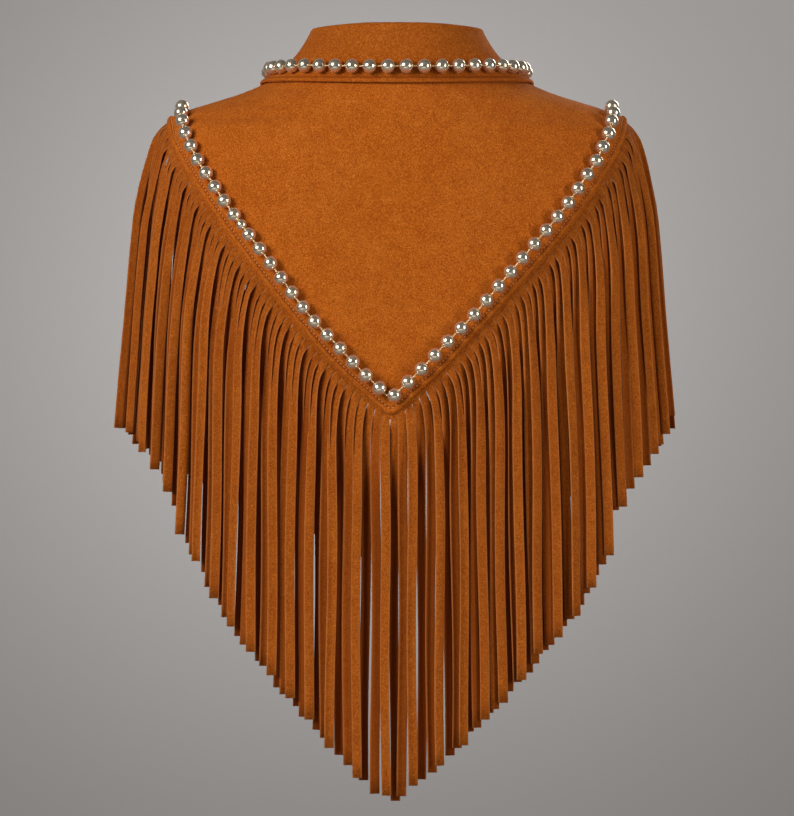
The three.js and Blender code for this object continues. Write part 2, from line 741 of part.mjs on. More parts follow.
const reachesBehind = (u) => {
  const fromRidge = Math.min(u, 1 - u) * backHem.length;
  const fromPoint = Math.abs(u - 0.5) * backHem.length;
  return { fromRidge, fromPoint, length: between(STRAND_LENGTHS, fromRidge, u < 0.5 ? 1 : 2) };
};
const reachesInFront = (u) => {
  const fromRidge = u * frontHem.length;
  return { fromRidge, fromPoint: frontHem.length - fromRidge, length: STRAND_FRONT };
};
const backStrands = strandTable(backPanel, 17, 0, reachesBehind);
const leftStrands = strandTable(frontPanel, 1400, 2, reachesInFront);
const rightStrands = strandTable(frontPanel, 2400, 2, reachesInFront);
addPiece('fringe_back', fringeGeometry(backPanel, backStrands), fringeSuede);
addPiece('fringe_front_left', fringeGeometry(frontPanel, leftStrands), fringeSuede);
addPiece('fringe_front_right', mirrored(fringeGeometry(frontPanel, rightStrands)), fringeSuede);

const chainOn = (rows, panel, behind) => {
  const line = bodyLine(rows, behind, behind);
  return sampledLine(300, (share) => {
    const spot = line.at(share);
    const found = onBody(spot.angle, spot.z, SUEDE + CHAIN_LIFT);
    found.point.y += panel.shift;
    return found;
  });
};
const backChain = chainOn(CHAIN_BEHIND, backPanel, true);
const frontChain = chainOn(CHAIN_IN_FRONT, frontPanel, false);
addPiece('chain_back',
  chainGeometry(backChain, backBalls(backChain.length), CHAIN_END, backChain.length - CHAIN_END),
  nickel);
const frontBalls = evenBalls(frontChain.length, 4);
const frontChainEnd = frontBalls[frontBalls.length - 1].at + BALL_RADIUS;
const frontChainGeometry = chainGeometry(frontChain, frontBalls, CHAIN_END, frontChainEnd);
addPiece('chain_front_left', frontChainGeometry, nickel);
addPiece('chain_front_right', mirrored(frontChainGeometry), nickel);

const collarLine = collarChainLine(collar);
const collarBalls = evenBalls(collarLine.length, 0);
const collarSlack = (collarLine.length - collarBalls.length * BALL_PITCH) / 2;
collarBalls.forEach((ball) => { ball.at += collarSlack; });
addPiece('chain_collar',
  chainGeometry(collarLine, collarBalls, collarBalls[0].at - BALL_RADIUS,
    collarBalls[collarBalls.length - 1].at + BALL_RADIUS), nickel);

export default group;
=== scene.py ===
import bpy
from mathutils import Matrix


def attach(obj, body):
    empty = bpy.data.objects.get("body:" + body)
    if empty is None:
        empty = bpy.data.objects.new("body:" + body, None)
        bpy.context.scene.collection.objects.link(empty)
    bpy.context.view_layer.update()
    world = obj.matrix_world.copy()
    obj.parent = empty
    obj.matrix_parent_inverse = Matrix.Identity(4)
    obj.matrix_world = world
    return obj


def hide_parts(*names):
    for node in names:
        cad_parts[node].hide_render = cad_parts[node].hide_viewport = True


bl_info = {
    "name": "Suede fringe cape",
    "version": (1, 0, 0),
    "blender": (4, 5, 0),
    "location": "3D View > Sidebar > Cape",
    "description": "Builds a worn suede cape with cut fringe, ball chains and a plain studio",
    "category": "Add Mesh",
}

import bisect
import math

import bmesh
import bpy
import numpy as np
from mathutils import Matrix, Vector
from mathutils import noise as field

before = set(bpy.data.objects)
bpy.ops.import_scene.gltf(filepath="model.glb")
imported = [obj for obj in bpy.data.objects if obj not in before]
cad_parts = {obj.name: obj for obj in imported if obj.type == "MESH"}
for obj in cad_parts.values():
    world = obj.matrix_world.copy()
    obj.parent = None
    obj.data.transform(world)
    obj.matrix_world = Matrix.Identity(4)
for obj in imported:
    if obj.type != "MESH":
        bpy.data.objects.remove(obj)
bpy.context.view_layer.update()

# Lengths below are in millimetres, as a maker would cut them. A mesh is brought to metres
# when it is finished. +Z is up, +Y is behind the wearer, +X is the wearer's left.
MM = 0.001

# Inside face of the worn cloth, a row per height from the neck down:
# height, half width, depth behind, depth in front, squareness of the section
BODY = [
    (6, 66, 57, 41, 2.0),
    (0, 75, 62, 45, 2.0),
    (-10, 96, 70, 51, 1.85),
    (-21, 118.2, 78, 57, 1.7),
    (-28.9, 137.5, 83, 60, 1.6),
    (-35.9, 159.5, 87, 63, 1.55),
    (-41.6, 178, 89, 65, 1.5),
    (-47.3, 193.5, 91, 67, 1.5),
    (-50.5, 200, 92, 68, 1.5),
    (-60, 208, 94, 72, 1.7),
    (-75, 212, 97, 77, 1.85),
    (-100, 215, 101, 85, 2.0),
    (-150, 217, 105, 98, 2.2),
    (-200, 218, 107.5, 106, 2.3),
    (-300, 220, 109, 111, 2.4),
    (-660, 222, 110, 113, 2.4),
]

# Edges of the panels and lines of the chains on that face, rows of half width and height,
# from the shoulder ridge on
NECK_BEHIND = [(75, 0), (60, 1.2), (32, 2), (0, 2)]
NECK_IN_FRONT = [(75, 0), (74, -8), (69, -22), (58, -42), (42, -62), (24, -75), (8, -80)]
HEM_BEHIND = [
    (200, -50.5), (199.5, -59), (196, -70), (187.7, -87), (176.5, -105),
    (158.5, -133.4), (136.8, -162.5), (110.6, -194.7), (92.7, -216.3), (68.9, -243.4),
    (50.9, -264), (34.4, -280.2), (23.4, -290), (11.2, -301.4), (0, -309),
]
HEM_IN_FRONT = [
    (200, -50.5), (199, -59), (193, -70), (178, -86), (150, -106),
    (118, -125), (84, -142), (50, -156), (28, -165),
]
CHAIN_BEHIND = [
    (186.5, -44.7), (185.5, -47.3), (185, -52), (183.4, -58.5), (179, -69.5), (173.6, -81),
    (168, -92.4), (161.1, -103), (145.8, -126.6), (127.5, -151), (107.9, -175.7),
    (88.8, -200.2), (68.8, -225.2), (45.4, -250.1), (24.6, -272.1), (12, -284.1), (0, -294),
]
CHAIN_IN_FRONT = [
    (186.5, -44.7), (186.5, -49), (185, -56), (180.2, -64.4), (164.8, -79.7), (146.3, -92.6),
    (126.9, -104.8), (107.2, -115.9), (87.4, -125.9), (67, -135), (46, -143.5), (25, -152.1),
]
SEAM_GAP = 0.3

# The point of the back hangs a little to the wearer's left
SWAY = 5.5
SWAY_FROM = -115
SWAY_TO = -255

# Power of the sine by which a change of the middle or of the shoulders keeps to its side
SIDE_POWER = 6

# Soft waves of the worn cloth: share of their height, lengths along x, y and z, and a shift
WAVES = [(0.75, (95, 95, 130), (0, 0, 7)), (0.25, (38, 38, 52), (3, 0, 0))]
CALM_NECK = (24, 50)

# Collar, rows from the middle of the back to the front end
FOLD_LINE = [
    (0, 66, 26), (28, 61, 26), (52, 44, 25.5), (68.5, 22, 25), (72.5, 0, 24.5),
    (71, -21, 17), (60, -44, -3), (38, -62, -32), (13, -70, -60),
]
FALL_EDGE_BEHIND = [(0, -25.2), (60, -23.6), (95, -22), (117, -20.4)]
FALL_EDGE_IN_FRONT = [(117, -20.4), (113, -36), (100, -64), (77, -98), (50, -128)]
FALL_SWELL = [(0, 3), (0.25, 1), (0.5, -5.5), (0.75, 1.5), (1, 3)]
COLLAR_CHAIN_INSET = [
    (0, 12), (0.28, 12), (0.36, 11.5), (0.42, 11), (0.5, 11), (0.62, 11), (1, 13),
]
COLLAR_CHAIN_REACH = 0.965
COLLAR_GAP = 1.5
# Darkening of the collar's suede, painted shade
COLLAR_PAINTED_SHADE = 0.86
FOLD_RADIUS = 3.5
STAND_LIFT = 1.3
SWELL_OUT = 0.8
SWELL_UP = 0.6

# Turned and stitched hem: distance in from the edge, height over the suede
HEM_PROFILE = [
    (10.5, 0), (8.8, 0.1), (7.4, 0.32), (6.3, 0.38), (5.6, 0.1), (5.1, -0.5), (4.7, -0.7),
    (4.3, -0.45), (3.8, 0.6), (3.1, 1.1), (2.1, 1.25), (1.1, 0.95), (0.4, 0.4), (0, 0),
]
COLLAR_PROFILE = [
    (8, 0), (6, 0.1), (5, 0.05), (4.4, -0.3), (4, -0.4), (3.6, -0.2), (3, 0.35), (2, 0.6),
    (1, 0.5), (0.4, 0.25), (0, 0),
]
# Painted shade in the groove of each hem: a share for each row of its profile
COLLAR_GROOVE_SHADE = [0, 0, 0.2, 0.9, 1, 0.8, 0.1, 0, 0, 0, 0]
HEM_GROOVE_SHADE = [0, 0, 0, 0, 0.2, 0.9, 1, 0.9, 0.15, 0, 0, 0, 0, 0]
STITCH_INSET = 4.7
STITCH_DEPTH = 0.1
STITCH_REACH = 0.4

# Angle in degrees past which an edge is rounded, and the steps of its rounding
SHARP_ANGLE = 55
RIM_STEPS = 3

# Columns of each grid of cloth, swells of their spacing, and rows
BACK_COLUMNS, BACK_ROWS = (230, 2), 52
FRONT_COLUMNS, FRONT_ROWS = (96, 1), 34
BACK_STRIP_COLUMNS = (180, 2)
FRONT_STRIP_COLUMNS = (64, 1)
COLLAR_COLUMNS = 150

# Faces around and up each small shape
BALL_FACES = (24, 14)
BEAD_FACES = (8, 6)
STITCH_FACES = (7, 6)

# Fringe: distance along the hem from the shoulder ridge, length on the right, on the left
STRAND_LENGTHS = [
    (0, 259, 270), (30, 267, 256), (78, 272, 256), (100, 276, 256), (112, 300, 274),
    (140, 312, 281), (170, 317, 297), (220, 319, 307), (300, 322, 313), (350, 326, 326),
]
STRAND_FRONT = 270
LENGTH_SPREAD = 6
ROOT_PITCH = 7.9
SLIT = 0.25
RIDGE_NARROWING = 0.85
RIDGE_REACH = 60
STRIP_INSETS = [7.5, 5, 2.5, 0, -1.5, -4.2]
STRIP_BELOW = 3
STRIP_GAP = 0.4
TURN_LENGTH = 13
LAYER_STEP = 3.6
LAYER_ORDER = [1, 0, 2]
SHOULDER_FLARE = 0.072

# How a strand lies, in degrees, and the share of a turn to the back that it makes
LEAN = 1.2
LEAN_SPREAD = 0.5
TWIST_SPREAD = 44
LOUVRE = 35
LOUVRE_SPREAD = 16
LOUVRE_LOSS = 0.7
FACING = 0.8
CURL_REST = 0.35

# Where along a strand, or along the hem, a change starts and how long it takes
LEAVES_RIDGE = (0, 30)
LEAVES_POINT = (-6, 60)
SETTLES_FIRST = (0, 16)
SETTLES_AFTER = (16, 70)
SETTLED_FIRST = 0.25
HANGS_LEVEL = (0, 12)
WIDENS = (0, 18)
LOUVRE_OPENS = (2, 14)
LOUVRE_CLOSES = (24, 90)
CURLS = (8, 50)
FACES_BACK = (0, 30)
TWISTS = (20, 180)
WANDERS = (0, 120)
WANDER_LENGTH = 48

# First draw of chance of each fringe, and how far on the draws for a quality start
BACK_DRAWS, LEFT_DRAWS, RIGHT_DRAWS = 17, 1400, 2400
LEAN_DRAWS, TWIST_DRAWS, CURL_DRAWS = 300, 600, 900
LOUVRE_DRAWS, PHASE_DRAWS, TONE_DRAWS = 1200, 1350, 1500

# Tone of a strand, the higher the nearer the dark suede colour. Below: painted shade on all
# the fringe's suede; the tone of the inner faces, darker as the flesh side and as painted
# shade in the gaps; tone that differs at random from strand to strand; painted shade on
# strands of the deeper layers.
FRINGE_PAINTED_SHADE = 0.82
INSIDE_FLESH_AND_SHADE = 1.6
TONE_SPREAD = 0.6
PAINTED_LAYER_SHADE = 0.62

# Chain
CHAIN_LIFT = 5.8
CHAIN_END = 4
CONNECTOR_RADIUS = 4.6
CONNECTOR_REACH = 11.3
CONNECTOR_AFTER = 12
BEAD_PLACES = (-0.31, 0, 0.31)
BEAD_FLATTENING = 0.85
PIN_OVERLAP = 0.8
NICKEL_ROUGHNESS = 0.2
LINK_ROUGHNESS = 0.24

# Studio in metres
FLOOR = -1.45
WALL = -1.6
WALL_TOP = 4.0
WALL_BEND = 0.6
FLOOR_END = 8.0
SWEEP_REACH = 6.0
CAPE_MIDDLE = (0, 0, -0.3)
POOL_MIDDLE = (0.06, -1.6, -0.17)
HORIZON = (0.5, 0.48, 0.46)
OVERHEAD = (1.0, 0.99, 0.98)
SENSOR_WIDTH = 36

# Lights: name, the setting of its power, place, what it aims at, size
LIGHTS = [
    ("key_light", "key", (2.5, 2.25, 1.1), CAPE_MIDDLE, (1.7, 1.7)),
    ("side_light", "side", (-2.3, 1.5, 0.1), CAPE_MIDDLE, (0.5, 1.6)),
    ("bounce_card", "bounce", (0.2, 1.9, -1.25), CAPE_MIDDLE, (2.5, 1.0)),
    ("front_light", "front", (-0.9, -1.45, 0.5), CAPE_MIDDLE, (0.8, 0.8)),
    ("backdrop_light", "pool", (0.06, -0.85, -0.17), POOL_MIDDLE, (0.3, 0.3)),
]

# Section of a strand, width and depth as shares of its half width and of its thickness,
# and how much of the raw edge shows there
STRAND_RING = [
    (1, 0, 1), (0.93, 0.5, 0.5), (0.5, 0.5, 0), (0, 0.5, 0), (-0.5, 0.5, 0), (-0.93, 0.5, 0.5),
    (-1, 0, 1), (-0.93, -0.5, 0.5), (-0.5, -0.5, 0), (0, -0.5, 0), (0.5, -0.5, 0),
    (0.93, -0.5, 0.5),
]


def length_setting(name, description, default, low, high):
    """A length in metres that a user would change."""
    return bpy.props.FloatProperty(
        name=name, description=description, default=default, min=low, max=high,
        subtype="DISTANCE", unit="LENGTH")


def colour_setting(name, description, default):
    return bpy.props.FloatVectorProperty(
        name=name, description=description, default=default, min=0, max=1, size=3,
        subtype="COLOR")


def power_setting(name, description, default):
    return bpy.props.FloatProperty(
        name=name, description=description, default=default, min=0, max=1000,
        unit="POWER")


class CapeCloth(bpy.types.PropertyGroup):
    """Sizes of the panels and the collar"""
    suede: length_setting("Suede", "Thickness of the panels", 0.0016, 0.001, 0.003)
    collar: length_setting("Collar", "Thickness of the collar", 0.002, 0.001, 0.004)
    undulation: length_setting(
        "Undulation", "Height of the soft waves of the worn suede", 0.0011, 0, 0.004)
    rim: length_setting("Rim", "Rounding of the cut edges", 0.00045, 0.0001, 0.001)
    collar_rim: length_setting(
        "Collar rim", "Rounding of the collar's edges", 0.00072, 0.0001, 0.001)
    strip_rim: length_setting(
        "Strip rim", "Rounding of the edges of the fringe's strip", 0.00015, 0.0001, 0.001)
    stitch_pitch: length_setting(
        "Stitch pitch", "Distance from stitch to stitch", 0.0034, 0.002, 0.006)
    thread: length_setting("Thread", "Radius of the sewing thread", 0.0005, 0.0001, 0.001)


class CapeFringe(bpy.types.PropertyGroup):
    """Sizes of the fringe"""
    width: length_setting("Width", "Width of a strand", 0.0084, 0.003, 0.009)
    thickness: length_setting("Thickness", "Thickness of a strand", 0.0012, 0.0006, 0.003)
    curl: length_setting(
        "Curl", "How far the edges of a strand curl out of flat", 0.0017, 0, 0.003)
    wave: length_setting(
        "Wave", "How far a strand wanders sideways as it hangs", 0.0009, 0, 0.004)


class CapeChain(bpy.types.PropertyGroup):
    """Sizes of the ball chains"""
    ball: length_setting("Ball", "Radius of a ball", 0.0061, 0.003, 0.007)
    pitch: length_setting("Pitch", "Distance from ball to ball", 0.0159, 0.012, 0.02)
    bead: length_setting(
        "Link bead", "Radius of the small beads of a link", 0.00095, 0.0004, 0.002)
    pin: length_setting(
        "Link pin", "Radius of the pin through the beads", 0.0005, 0.0003, 0.002)


class CapeColours(bpy.types.PropertyGroup):
    """Colours of suede, thread and metal"""
    suede: colour_setting("Suede", "Middle colour of the nap", (0.45, 0.095, 0.0062))
    brushed: colour_setting(
        "Brushed suede", "Nap that lies towards the light", (0.66, 0.185, 0.02))
    # Dark nap: random mottle of the suede, and also the colour of painted shade in grooves, on
    # deeper strands and on inner faces
    rubbed_and_shade: colour_setting(
        "Rubbed suede", "Nap that lies away from the light", (0.27, 0.046, 0.0026))
    cut_edge: colour_setting("Cut edge", "Raw edge of a strand", (0.62, 0.23, 0.07))
    thread: colour_setting("Thread", "Sewing thread", (0.8, 0.38, 0.12))
    nickel: colour_setting("Nickel", "Plating of the balls", (0.9, 0.77, 0.58))
    link: colour_setting("Link", "Plating of the links", (0.9, 0.68, 0.4))


class CapeStudio(bpy.types.PropertyGroup):
    """Camera, light and backdrop"""
    distance: length_setting(
        "Camera distance", "From the camera to the middle of the neck", 4.0, 1, 10)
    height: length_setting("Camera height", "Height of the level camera", -0.3036, -2, 2)
    view_height: length_setting(
        "View height", "Height of the view at the middle of the neck", 0.7181, 0.3, 3)
    key: power_setting("Key light", "Large light on the upper left", 108)
    side: power_setting("Side light", "Tall light on the right", 34)
    bounce: power_setting("Bounce card", "Pale card that lights from below", 5)
    front: power_setting("Front light", "Weak light on the open fronts", 16)
    pool: power_setting("Backdrop light", "Pool of light on the backdrop", 8)
    sky: bpy.props.FloatProperty(
        name="Sky", description="Strength of the even light from all round", default=0.045,
        min=0, max=10, subtype="FACTOR")
    backdrop: colour_setting(
        "Backdrop", "Paper of floor and backdrop", (0.236, 0.224, 0.217))


def clamp(value, low, high):
    return min(max(value, low), high)


def lerp(a, b, share):
    return a + (b - a) * share


def smooth(value):
    share = clamp(value, 0.0, 1.0)
    return share * share * (3 - 2 * share)


def ramp(place, change):
    """How much of a change is done at a place, from 0 to 1."""
    start, length = change
    return smooth((place - start) / length)


def chance(index):
    """A number from 0 to 1 that is always the same for an index."""
    wave = math.sin(index * 12.9898 + 78.233) * 43758.5453
    return wave - math.floor(wave)


def spread(index):
    """A chance from a half below nothing to a half above."""
    return chance(index) - 0.5


def between(rows, place, column=1, ease=False):
    """Value of a table's column at a place between its rows."""
    i = 1
    while i < len(rows) - 1 and rows[i][0] < place:
        i += 1
    start, end = rows[i - 1], rows[i]
    share = clamp((place - start[0]) / (end[0] - start[0]), 0, 1)
    return lerp(start[column], end[column], smooth(share) if ease else share)


def column_curve(rows, column):
    """Smooth curve through a column of a table, without overshoot between its rows."""
    place = [-row[0] for row in rows]
    value = [row[column] for row in rows]
    last = len(rows) - 1
    slope = [(value[i + 1] - value[i]) / (place[i + 1] - place[i]) for i in range(last)]
    tangent = []
    for i in range(len(rows)):
        if i in (0, last):
            tangent.append(slope[min(i, last - 1)])
        elif slope[i - 1] * slope[i] <= 0:
            tangent.append(0.0)
        else:
            tangent.append(2 * slope[i - 1] * slope[i] / (slope[i - 1] + slope[i]))

    def at(height):
        where = clamp(-height, place[0], place[last])
        i = clamp(bisect.bisect_left(place, where) - 1, 0, last - 1)
        span = place[i + 1] - place[i]
        t = (where - place[i]) / span
        rise = value[i] * (1 + 2 * t) * (1 - t) ** 2 + value[i + 1] * t * t * (3 - 2 * t)
        return rise + span * (tangent[i] * t * (1 - t) ** 2 - tangent[i + 1] * t * t * (1 - t))

    return at


half_width = column_curve(BODY, 1)
depth_behind = column_curve(BODY, 2)
depth_in_front = column_curve(BODY, 3)
squareness = column_curve(BODY, 4)


def body_level(x, y, z):
    """How far out a place is, 1 on the inside face of the cloth."""
    power = squareness(z)
    depth = depth_behind(z) if y >= 0 else depth_in_front(z)
    return (abs(x) / half_width(z)) ** power + (abs(y) / depth) ** power


def body_normal(x, y, z):
    step = 0.05
    return Vector((
        body_level(x + step, y, z) - body_level(x - step, y, z),
        body_level(x, y + step, z) - body_level(x, y - step, z),
        body_level(x, y, z + step) - body_level(x, y, z - step),
    )).normalized()


def sway(angle, z):
    if math.cos(angle) <= 0:
        return 0.0
    fade = 1 - abs(math.sin(angle)) ** SIDE_POWER
    return SWAY * smooth((z - SWAY_FROM) / (SWAY_TO - SWAY_FROM)) * fade


def undulation(x, y, z):
    """Soft waves of the worn cloth, none near the neck."""
    height = bpy.context.scene.cape_cloth.undulation / MM
    swell = 0.0
    for share, lengths, shift in WAVES:
        spot = [part / length + more for part, length, more in zip((x, y, z), lengths, shift)]
        swell += share * field.noise(Vector(spot))
    return height * ramp(-z, CALM_NECK) * swell


def on_body(angle, z, out=0.0):
    """A place on the body by angle (0 middle of the back, a right angle the shoulder ridge,
    two the middle of the front), height and distance out of the inside face."""
    power = squareness(z)
    behind = math.cos(angle) >= 0
    depth = depth_behind(z) if behind else depth_in_front(z)
    across = min(abs(math.sin(angle)), 1.0)
    x = half_width(z) * math.sin(angle)
    y = (1 if behind else -1) * depth * (1 - across ** power) ** (1 / power)
    normal = body_normal(x, y, z)
    point = Vector((x, y, z)) + normal * (out + undulation(x, y, z))
    point.x += sway(angle, z)
    return point, normal


def angle_of(x, z, behind):
    slant = math.asin(clamp(x / half_width(z), -1, 1))
    return slant if behind else math.pi - slant


def spline_point(points, share):
    """A point of the centripetal spline through some points, by share of their number."""
    last = len(points) - 1
    i = min(int(share * last), last - 1)
    t = share * last - i
    p1, p2 = points[i], points[i + 1]
    p0 = points[i - 1] if i > 0 else 2 * p1 - p2
    p3 = points[i + 2] if i + 2 <= last else 2 * p2 - p1
    d1 = max((p2 - p1).length ** 0.5, 1e-4)
    d0 = (p1 - p0).length ** 0.5 or d1
    d2 = (p3 - p2).length ** 0.5 or d1
    start = ((p1 - p0) / d0 - (p2 - p0) / (d0 + d1) + (p2 - p1) / d1) * d1
    end = ((p2 - p1) / d1 - (p3 - p1) / (d1 + d2) + (p3 - p2) / d2) * d1
    square = (p2 - p1) * 3 - start * 2 - end
    cube = (p1 - p2) * 2 + start + end
    return p1 + start * t + square * t * t + cube * t ** 3


class MeasuredLine:
    """Samples of a line, read by the distance along it."""

    def __init__(self, samples, points):
        self.samples = samples
        self.marks = [0.0]
        for before, after in zip(points, points[1:]):
            self.marks.append(self.marks[-1] + (after - before).length)
        self.length = self.marks[-1]

    def at(self, distance):
        goal = clamp(distance, 0.0, self.length)
        i = clamp(bisect.bisect_left(self.marks, goal), 1, len(self.marks) - 1)
        share = (goal - self.marks[i - 1]) / (self.marks[i] - self.marks[i - 1])
        return [lerp(a, b, share) for a, b in zip(self.samples[i - 1], self.samples[i])]

    def at_share(self, share):
        return self.at(share * self.length)


def body_line(rows, behind):
    """A line of angle and height on the body through rows of half width and height. Behind,
    it goes on over the other side; in front, it stays on the left."""
    scale = 150
    fine = 24
    half = [Vector((angle_of(x, z, behind) * scale, z)) for x, z in rows]
    half.insert(0, Vector((2 * half[0].x - half[1].x, half[0].y)))
    points = half
    if behind:
        points = [Vector((-p.x, p.y)) for p in half] + half[-2::-1]
    steps = (len(points) - 1) * fine
    curve = [spline_point(points, i / steps) for i in range(fine, steps + 1)]
    if behind:
        curve = curve[:-fine]
    samples = [(p.x / scale, p.y) for p in curve]
    return MeasuredLine(samples, [on_body(angle, z)[0] for angle, z in samples])


class Panel:
    """A panel of cloth whose columns run from a neck line to a hem line."""
    marks = 240
    window = 20
    halvings = 13

    def __init__(self, neck, hem, shift):
        self.neck = neck
        self.hem = hem
        self.shift = Vector((0, shift, 0))
        self.hem_points = np.array(
            [self.place(i / self.marks, 1)[0] for i in range(self.marks + 1)])
        self.reach = {}

    def spot(self, u, share):
        angle, z = self.neck.at_share(u)
        low_angle, low_z = self.hem.at_share(u)
        return lerp(angle, low_angle, share), lerp(z, low_z, share)

    def place(self, u, share, out=0.0):
        point, normal = on_body(*self.spot(u, share), out)
        return point + self.shift, normal

    def distance_to_hem(self, point, u):
        first = max(round(u * self.marks) - self.window, 0)
        last = min(round(u * self.marks) + self.window, self.marks)
        start = self.hem_points[first:last]
        along = self.hem_points[first + 1:last + 1] - start
        away = np.array(point) - start
        share = np.clip((away * along).sum(1) / (along * along).sum(1), 0, 1)
        return float(np.sqrt(((away - along * share[:, None]) ** 2).sum(1).min()))

    def share_from_hem(self, u, distance):
        """Where a column is a distance in from the hem line, or beyond it when negative."""
        if distance == 0:
            return 1.0
        key = (round(u, 6), distance)
        if key not in self.reach:
            near, far = 1.0, 0.5 if distance > 0 else 1.5
            for _ in range(self.halvings):
                middle = (near + far) / 2
                if self.distance_to_hem(self.place(u, middle)[0], u) < abs(distance):
                    near = middle
                else:
                    far = middle
            self.reach[key] = near
        return self.reach[key]

    def over_neck(self, u, distance, out=0.0):
        step = 0.01
        stride = (self.place(u, step)[0] - self.place(u, 0)[0]).length / step
        return self.place(u, -distance / stride, out)


def make_panels():
    """Back panel and left front panel. The right front is the left one mirrored."""
    back = Panel(body_line(NECK_BEHIND, True), body_line(HEM_BEHIND, True), SEAM_GAP / 2)
    front = Panel(body_line(NECK_IN_FRONT, False), body_line(HEM_IN_FRONT, False),
                  -SEAM_GAP / 2)
    return back, front


def finish_piece(name, bm, materials, nodes=(), flipped=False):
    """Makes the object in metres, smooth, riding on the body and standing for its nodes.
    A flipped piece is the mirror image for the wearer's right side."""
    if flipped:
        bmesh.ops.scale(bm, vec=(-1, 1, 1), verts=bm.verts)
    bmesh.ops.recalc_face_normals(bm, faces=bm.faces)
    bmesh.ops.scale(bm, vec=(MM, MM, MM), verts=bm.verts)
    mesh = bpy.data.meshes.new(name)
    bm.to_mesh(mesh)
    bm.free()
    mesh.shade_smooth()
    for material in materials:
        mesh.materials.append(material)
    piece = bpy.data.objects.new(name, mesh)
    bpy.context.scene.collection.objects.link(piece)
    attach(piece, "root")
    if nodes:
        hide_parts(*nodes)
    return piece


def new_material(name, colour, roughness, metallic=0.0):
    """A material with its object coordinates, ready for the nodes of a finish."""
    material = bpy.data.materials.new(name)
    material.use_nodes = True
    tree = material.node_tree
    shader = tree.nodes["Principled BSDF"]
    shader.inputs["Base Color"].default_value = (*colour, 1)
    shader.inputs["Roughness"].default_value = roughness
    shader.inputs["Metallic"].default_value = metallic
    place = tree.nodes.new("ShaderNodeTexCoord").outputs["Object"]
    return material, tree, shader, place


def add_noise(tree, place, scale, detail=2.0, stretch=(1, 1, 1), warp=0.0):
    """Noise with features of about a metre over its scale."""
    mapping = tree.nodes.new("ShaderNodeMapping")
    mapping.inputs["Scale"].default_value = stretch
    tree.links.new(place, mapping.inputs["Vector"])
    noise = tree.nodes.new("ShaderNodeTexNoise")
    noise.inputs["Scale"].default_value = scale
    noise.inputs["Detail"].default_value = detail
    noise.inputs["Roughness"].default_value = 0.6
    noise.inputs["Distortion"].default_value = warp
    tree.links.new(mapping.outputs["Vector"], noise.inputs["Vector"])
    return noise.outputs["Fac"]


def add_range(tree, value, low, high, to_low=0.0, to_high=1.0):
    """Stretches a value from one range to another, and holds it there."""
    node = tree.nodes.new("ShaderNodeMapRange")
    for name, number in (("From Min", low), ("From Max", high),
                         ("To Min", to_low), ("To Max", to_high)):
        node.inputs[name].default_value = number
    tree.links.new(value, node.inputs["Value"])
    return node.outputs["Result"]


def add_mix(tree, share, first, second):
    """Mixes two colours, each a colour or another node's output."""
    node = tree.nodes.new("ShaderNodeMix")
    node.data_type = "RGBA"
    tree.links.new(share, node.inputs["Factor"])
    for name, colour in (("A", first), ("B", second)):
        socket = [s for s in node.inputs if s.name == name and s.type == "RGBA"][0]
        if isinstance(colour, bpy.types.NodeSocket):
            tree.links.new(colour, socket)
        else:
            socket.default_value = (*colour, 1)
    return [s for s in node.outputs if s.type == "RGBA"][0]


def add_bump(tree, shader, height, strength, distance, before=None):
    node = tree.nodes.new("ShaderNodeBump")
    node.inputs["Strength"].default_value = strength
    node.inputs["Distance"].default_value = distance
    tree.links.new(height, node.inputs["Height"])
    if before:
        tree.links.new(before, node.inputs["Normal"])
    tree.links.new(node.outputs["Normal"], shader.inputs["Normal"])
    return node.outputs["Normal"]


def add_hairs(tree, place, mask):
    """Share of a few long fibres, thin lines where a noise crosses its middle."""
    line = tree.nodes.new("ShaderNodeMath")
    line.operation = "COMPARE"
    line.inputs[1].default_value = 0.5
    line.inputs[2].default_value = 0.01
    tree.links.new(add_noise(tree, place, 170, 1, warp=1.2), line.inputs[0])
    kept = tree.nodes.new("ShaderNodeMath")
    kept.operation = "MULTIPLY"
    tree.links.new(line.outputs["Value"], kept.inputs[0])
    tree.links.new(add_range(tree, mask, 0.5, 0.58, 0.0, 0.8), kept.inputs[1])
    return kept.outputs["Value"]


def add_attribute(tree, name):
    """A number that the mesh carries at each of its points."""
    node = tree.nodes.new("ShaderNodeAttribute")
    node.attribute_name = name
    return node.outputs["Fac"]


